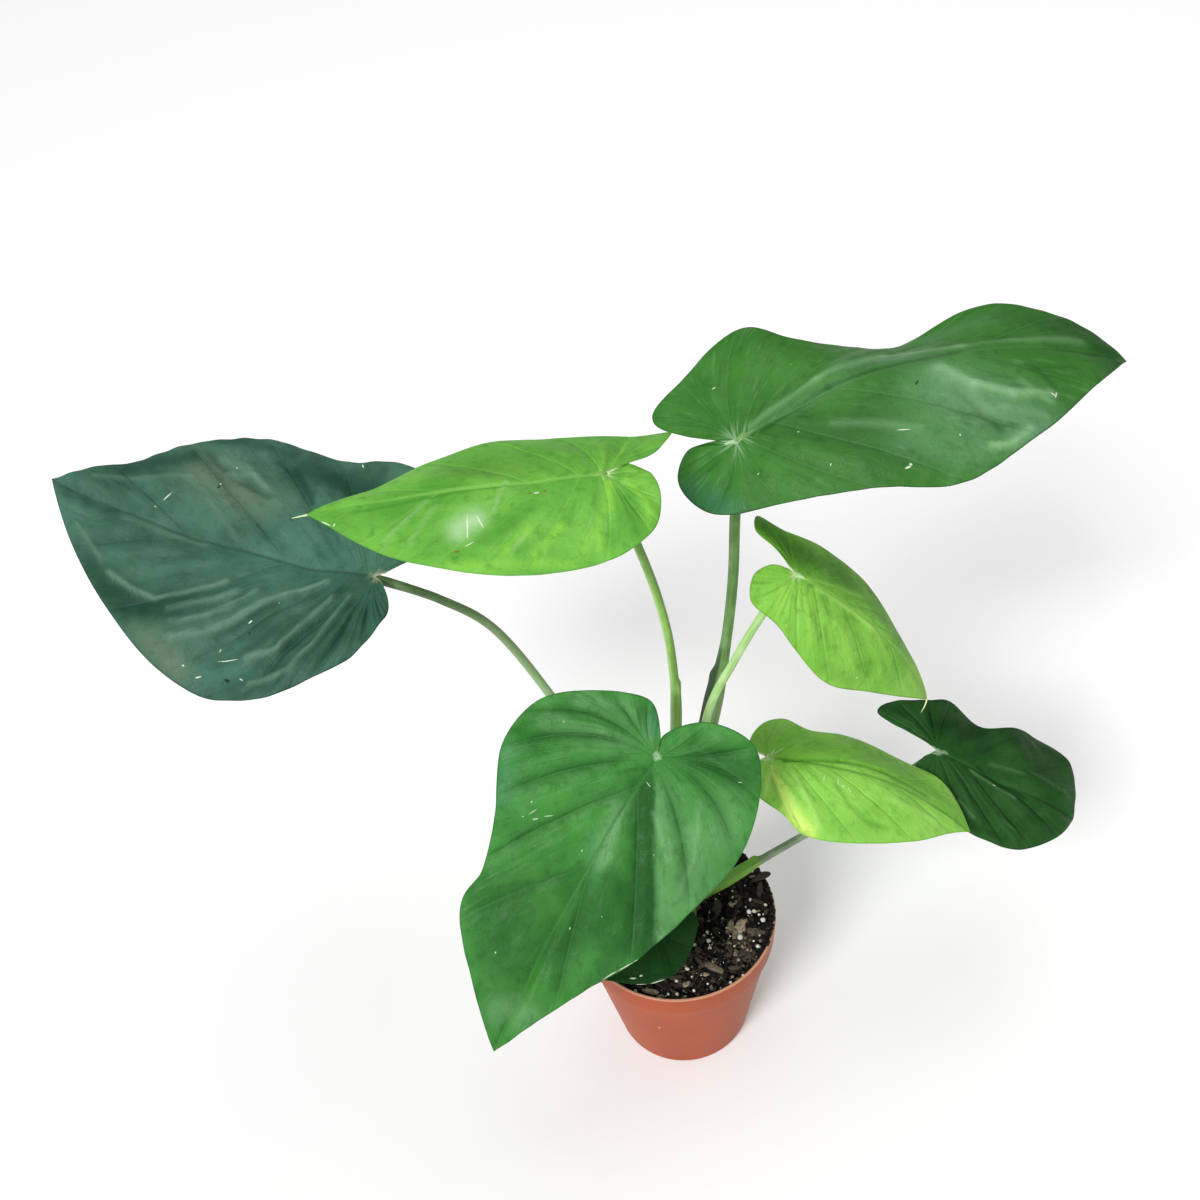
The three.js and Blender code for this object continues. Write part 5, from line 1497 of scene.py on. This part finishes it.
def mix_finish():
    """Moist peat, painted nearly black, partly as the shade in the gaps between crumbs, and dark
    brown on its crumbs.
    """
    finish = Finish("moist_peat_and_gap_shade", IOR=1.4)
    place = finish.place()
    crumbs = finish.noise(place, 420, 5, 0.7)
    cloud = finish.noise(place, 60, 3, 0.5)
    # The near-black ground is partly painted shade in the gaps between crumbs.
    colour = finish.coated("030202", [
        (finish.between(crumbs, 0.38, 0.7), "150e0b"),
        (finish.between(cloud, 0.5, 0.75) * 0.5, "20160f"),
    ])
    normal = finish.bump(crumbs, 1.2, 0.9)
    finish.feed(Base_Color=colour, Roughness=0.95 - 0.25 * crumbs, Normal=normal)
    return finish


def pebble(rows, columns, squareness=1.0):
    """A closed ball on a grid of height and turn. Squareness below 1 flattens it towards a box:
    each of its sines and cosines is raised to that power."""
    lift = np.linspace(-np.pi / 2, np.pi / 2, rows)[:, None]
    turn = np.linspace(0, 2 * np.pi, columns + 1)[None]
    flat = np.clip(np.cos(lift), 0, 1)
    flat[0] = flat[-1] = 0
    waves = (flat, np.cos(turn), np.sin(turn), np.sin(lift))
    flat, cosine, sine, height = (np.sign(wave) * np.abs(wave) ** squareness for wave in waves)
    points = np.stack([flat * cosine, flat * sine, height + 0 * turn], -1)
    points[:, -1] = points[:, 0]
    points = points.reshape(-1, 3)
    kept, faces, _ = welded(points, grid_faces(rows, columns + 1))
    return points[kept], faces[:, ::-1]


def turns(draw, count, tilt, heading=None):
    """Rotations: a heading, drawn if none is given, then a drawn tilt of up to an angle about each
    level axis."""
    heading = draw.uniform(0, 2 * np.pi, count) if heading is None else heading
    lean = draw.uniform(-tilt, tilt, count)
    spin = draw.uniform(-tilt, tilt, count)
    zero, one = np.zeros(count), np.ones(count)
    ch, sh, cl, sl, cs, ss = (f(a) for a in (heading, lean, spin) for f in (np.cos, np.sin))
    about_z = np.stack([ch, -sh, zero, sh, ch, zero, zero, zero, one], -1).reshape(-1, 3, 3)
    about_y = np.stack([cl, zero, sl, zero, one, zero, -sl, zero, cl], -1).reshape(-1, 3, 3)
    about_x = np.stack([one, zero, zero, zero, cs, -ss, zero, ss, cs], -1).reshape(-1, 3, 3)
    return about_z @ about_y @ about_x


def spots_on_mix(draw, count, margin):
    """Drawn places on the mix, kept off the pot's wall and the stem: of three times as many drawn,
    the first that fit."""
    reach = INSIDE_RIM - margin
    x, y = draw.uniform(-reach, reach, (2, count * 3))
    fits = (np.hypot(x, y) < reach) & (np.hypot(x - CROWN[0], y - CROWN[1]) > CROWN_CLEAR)
    return on_mix(x[fits][:count], y[fits][:count])


def tinted_bits(name, low, middle, high, gloss=0.85, grain=900, bump=0.5):
    """The finish of small bits, which differ in tone from bit to bit and have a fine grain."""
    finish = Finish(name, IOR=1.4)
    between = finish.between
    tone, _, _ = finish.split(finish.vector("tone"))
    fine = finish.noise(finish.place(), grain, 4, 0.65)
    colour = finish.coated(low, [
        (between(tone, 0.0, 0.6), middle), (between(tone, 0.7, 1.0), high),
        (between(fine, 0.55, 0.35) * 0.6, low),
    ])
    normal = finish.bump(fine, bump, 0.9)
    finish.feed(Base_Color=colour, Roughness=gloss - 0.2 * fine, Normal=normal)
    return finish


def make_toned(name, finish, points, faces, tones):
    """A piece of the mix whose bits, or copies of a shape, each have a tone."""
    tone = np.repeat(tones, points.shape[1])
    faces = repeated(faces, *points.shape[:2])
    values = {"tone": np.stack([tone, tone, tone], 1)}
    make_piece(name, points.reshape(-1, 3), faces, [finish], "potting_mix", values=values)


def make_bits(name, finish, shape, sizes, places, spins, draw, uneven, tones=None):
    """A piece of many small bits. Each is a closed shape that is dented by sine waves with drawn
    phases, scaled, turned, set in its place and given a tone, drawn if none is given."""
    points, faces = shape
    count = len(sizes)
    phase = draw.uniform(0, 2 * np.pi, (count, 1, 3))
    pitch = draw.uniform(*DENT_PITCH, (count, 1, 3))
    dent = 1 + uneven * np.sin(pitch * points[None] + phase).sum(2, keepdims=True)
    made = np.einsum("nij,nvj->nvi", spins, points[None] * dent * sizes[:, None])
    tones = draw.uniform(0, 1, count) if tones is None else tones
    make_toned(name, finish, made + places[:, None], faces, tones)


def uneven_sizes(draw, count, sizes, shares):
    """Three half lengths for each bit: one drawn size, times a drawn share for each."""
    return draw.uniform(*sizes, (count, 1)) * draw.uniform(*shares, (count, 3))


def mostly_small(draw, count, sizes):
    """Drawn sizes between two, crowded towards the smaller with the square of an even draw."""
    low, high = sizes
    return low + (high - low) * draw.uniform(0, 1, count) ** 2


def make_crumbs(draw):
    """Peat crumbs in the top of the mix, and those that the bank has spilt on the lip."""
    peat = tinted_bits("peat_crumbs", "040202", "16100c", "443428", 0.95)
    ball = pebble(6, 7)
    places = spots_on_mix(draw, CRUMBS, 1.5)
    count = len(places)
    sizes = uneven_sizes(draw, count, CRUMB_SIZES, (0.6, 1.1))
    places[:, 2] += draw.uniform(-1.2, 0.8, count)
    make_bits("mix_crumbs", peat, ball, sizes, places, turns(draw, count, 3), draw, 0.12)

    count = SPILT_CRUMBS
    way = np.radians(draw.uniform(*SPILL_FROM_TO, count))
    out = draw.uniform(*SPILL_RADII, count)
    sizes = uneven_sizes(draw, count, SPILT_SIZES, (0.7, 1.1))
    height = POT_HEIGHT + SPILT_LIFT + SPILT_ROOM * sizes.max(1) + draw.uniform(0, 0.5, count)
    places = np.stack([out * np.cos(way), out * np.sin(way), height], 1)
    make_bits("spilt_crumbs", peat, ball, sizes, places, turns(draw, count, 3), draw, 0.12)


def make_bark(draw):
    """Bark: drawn chips that are mostly small, a patch of grit, and the larger placed chips."""
    bark = tinted_bits("bark", "140f0b", "50443a", "bca68c", 0.85, 700, 1.2)
    places = spots_on_mix(draw, BARK_CHIPS, 2.5)
    count = len(places)
    long = mostly_small(draw, count, CHIP_SIZES)
    wide = long * draw.uniform(0.25, 0.7, count)
    sizes = np.stack([long, wide, draw.uniform(0.3, 0.9, count)], 1)
    places[:, 2] += draw.uniform(-0.6, 1.2, count)
    chip = pebble(7, 10, 0.75)
    make_bits("bark_chips", bark, chip, sizes, places, turns(draw, count, 0.6), draw, 0.16)

    count = GRIT_COUNT
    x, y = np.array(GRIT_AT)[:, None] + GRIT_SPREAD * draw.standard_normal((2, count))
    places = on_mix(x, y, draw.uniform(0.2, 1.2, count))
    sizes = uneven_sizes(draw, count, GRIT_SIZES, (0.5, 1))
    spins = turns(draw, count, 3)
    tones = draw.uniform(0.35, 0.95, count)
    make_bits("bark_grit", bark, pebble(6, 8, 0.8), sizes, places, spins, draw, 0.16, tones)

    x, y, long, wide, heading, tones = np.array(PLACED_CHIPS).T
    sizes = np.stack([0.95 * long, 0.85 * wide, 0.5 + 0.1 * long], 1)
    spins = turns(draw, len(x), 0.3, np.radians(heading))
    places = on_mix(x, y, CHIP_LIFT)
    chip = pebble(11, 18, 0.8)
    make_bits("large_chips", bark, chip, sizes, places, spins, draw, 0.17, 1.1 * tones)


def make_grains(draw):
    """Pale grains of expanded mineral: drawn fine ones and the larger placed ones."""
    places = spots_on_mix(draw, FINE_GRAINS, 3)
    size = mostly_small(draw, len(places), GRAIN_SIZES)
    x, y, placed_size = np.array(PLACED_GRAINS).T
    places = np.concatenate([places, on_mix(x, y, GRAIN_LIFT)])
    size = np.concatenate([size, placed_size])
    sizes = size[:, None] * draw.uniform(0.8, 1.1, (len(size), 3))
    places[:, 2] += draw.uniform(0.2, 1.1, len(places))
    mineral = tinted_bits("expanded_mineral", "d8d0c0", "fffdf6", "ffffff", 0.8, 1500, 0.4)
    spins = turns(draw, len(places), 3)
    make_bits("pale_grains", mineral, pebble(7, 8), sizes, places, spins, draw, 0.1)


def make_fibres(draw):
    """Fibres: thin threads that arch over the mix. Each bows aside and up by one less the square of
    the share from its middle to its end, and thins out at both ends."""
    places = spots_on_mix(draw, FIBRES, 6)
    count = len(places)
    long, girth, bow, rise = (
        draw.uniform(*span, count)[:, None, None]
        for span in (FIBRE_LENGTH, FIBRE_RADIUS, FIBRE_BOW, FIBRE_RISE)
    )
    t = np.linspace(-0.5, 0.5, FIBRE_SECTIONS)[None, :, None]
    turn = np.linspace(0, 2 * np.pi, FIBRE_SIDES + 1)[None, None]
    arch = 1 - 4 * t**2
    thick = girth * np.sqrt(np.clip(1 - (2 * t) ** 6, 0, 1))
    points = np.stack([
        long * t + 0 * thick * turn, long * bow * arch + thick * np.cos(turn),
        long * rise * arch + thick * np.sin(turn),
    ], -1)
    points[:, :, -1] = points[:, :, 0]
    points = np.einsum("nij,nrcj->nrci", turns(draw, count, 0.25), points)
    points = points + places[:, None, None] + (0, 0, FIBRE_LIFT)
    faces = grid_faces(FIBRE_SECTIONS, FIBRE_SIDES + 1, flip=True)
    finish = tinted_bits("fibre", "1c130d", "4a3526", "8a6f52", 0.8)
    points = points.reshape(count, -1, 3)
    make_toned("mix_fibres", finish, points, faces, draw.uniform(0, 1, count))


def make_mix():
    """The mix: its bed, with crumbs, bark, pale grains and fibres lying in its top."""
    make_bed()
    draw = np.random.default_rng(MIX_SEED)
    make_crumbs(draw)
    make_bark(draw)
    make_grains(draw)
    make_fibres(draw)


def place_camera():
    """The camera: it looks down from the front, and its picture leans a little."""
    lens = bpy.data.cameras.new("camera")
    lens.lens = CAMERA_LENS
    lens.sensor_width = CAMERA_SENSOR
    lens.clip_end = CAMERA_SIGHT
    camera = put_in_scene("camera", lens)
    forward = Vector((0, math.cos(CAMERA_DOWN), -math.sin(CAMERA_DOWN)))
    level = Vector((1, 0, 0))
    upright = level.cross(forward)
    right = level * math.cos(CAMERA_LEAN) + upright * math.sin(CAMERA_LEAN)
    up = upright * math.cos(CAMERA_LEAN) - level * math.sin(CAMERA_LEAN)
    turn = Matrix((right, up, -forward)).transposed().to_4x4()
    camera.matrix_world = Matrix.Translation(Vector(CAMERA_PLACE) * MM) @ turn
    bpy.context.scene.camera = camera
    bpy.context.scene.view_settings.view_transform = "Standard"


def lay_floor():
    """A white floor, which glows a little, so that it stays white in soft shadows."""
    half = FLOOR_SIZE / 2
    corners = np.array([(-half, -half, 0), (half, -half, 0), (half, half, 0), (-half, half, 0)])
    floor = put_in_scene("floor", new_mesh("floor", corners, np.array([(0, 1, 2, 3)])))
    paper = Finish(
        "white_paper", Base_Color=(*[FLOOR_TONE] * 3, 1), Roughness=1, Specular_IOR_Level=0,
        Emission_Color=(1, 1, 1, 1), Emission_Strength=FLOOR_GLOW,
    )
    floor.data.materials.append(paper.material)


def light_stage():
    """An even pale surround, a broad soft sun from the upper left front, and an overhead softbox
    that the glossy leaves reflect."""
    world = bpy.data.worlds.new("surround")
    world.use_nodes = True
    backdrop = world.node_tree.nodes["Background"]
    backdrop.inputs["Color"].default_value = (1, 1, 1, 1)
    backdrop.inputs["Strength"].default_value = SURROUND
    bpy.context.scene.world = world
    sun = bpy.data.lights.new("soft_sun", "SUN")
    sun.energy = SUN_POWER
    sun.angle = SUN_SPREAD
    softbox = bpy.data.lights.new("softbox", "AREA")
    softbox.shape = "DISK"
    softbox.size = SOFTBOX_SIZE
    softbox.energy = SOFTBOX_POWER
    for lamp, place in ((sun, SUN_PLACE), (softbox, SOFTBOX_PLACE)):
        held = put_in_scene(lamp.name, lamp)
        held.location = place
        shining = Vector(LIT_PLACE) - Vector(place)
        held.rotation_euler = shining.to_track_quat("-Z", "Y").to_euler()


place_camera()
lay_floor()
light_stage()
make_pot()
make_mix()
make_stem()
for own in LEAVES:
    leaf = USUAL_LEAF | own
    make_stalk(leaf)
    make_blade(leaf, USUAL_LOOK | LOOKS[leaf["name"]])
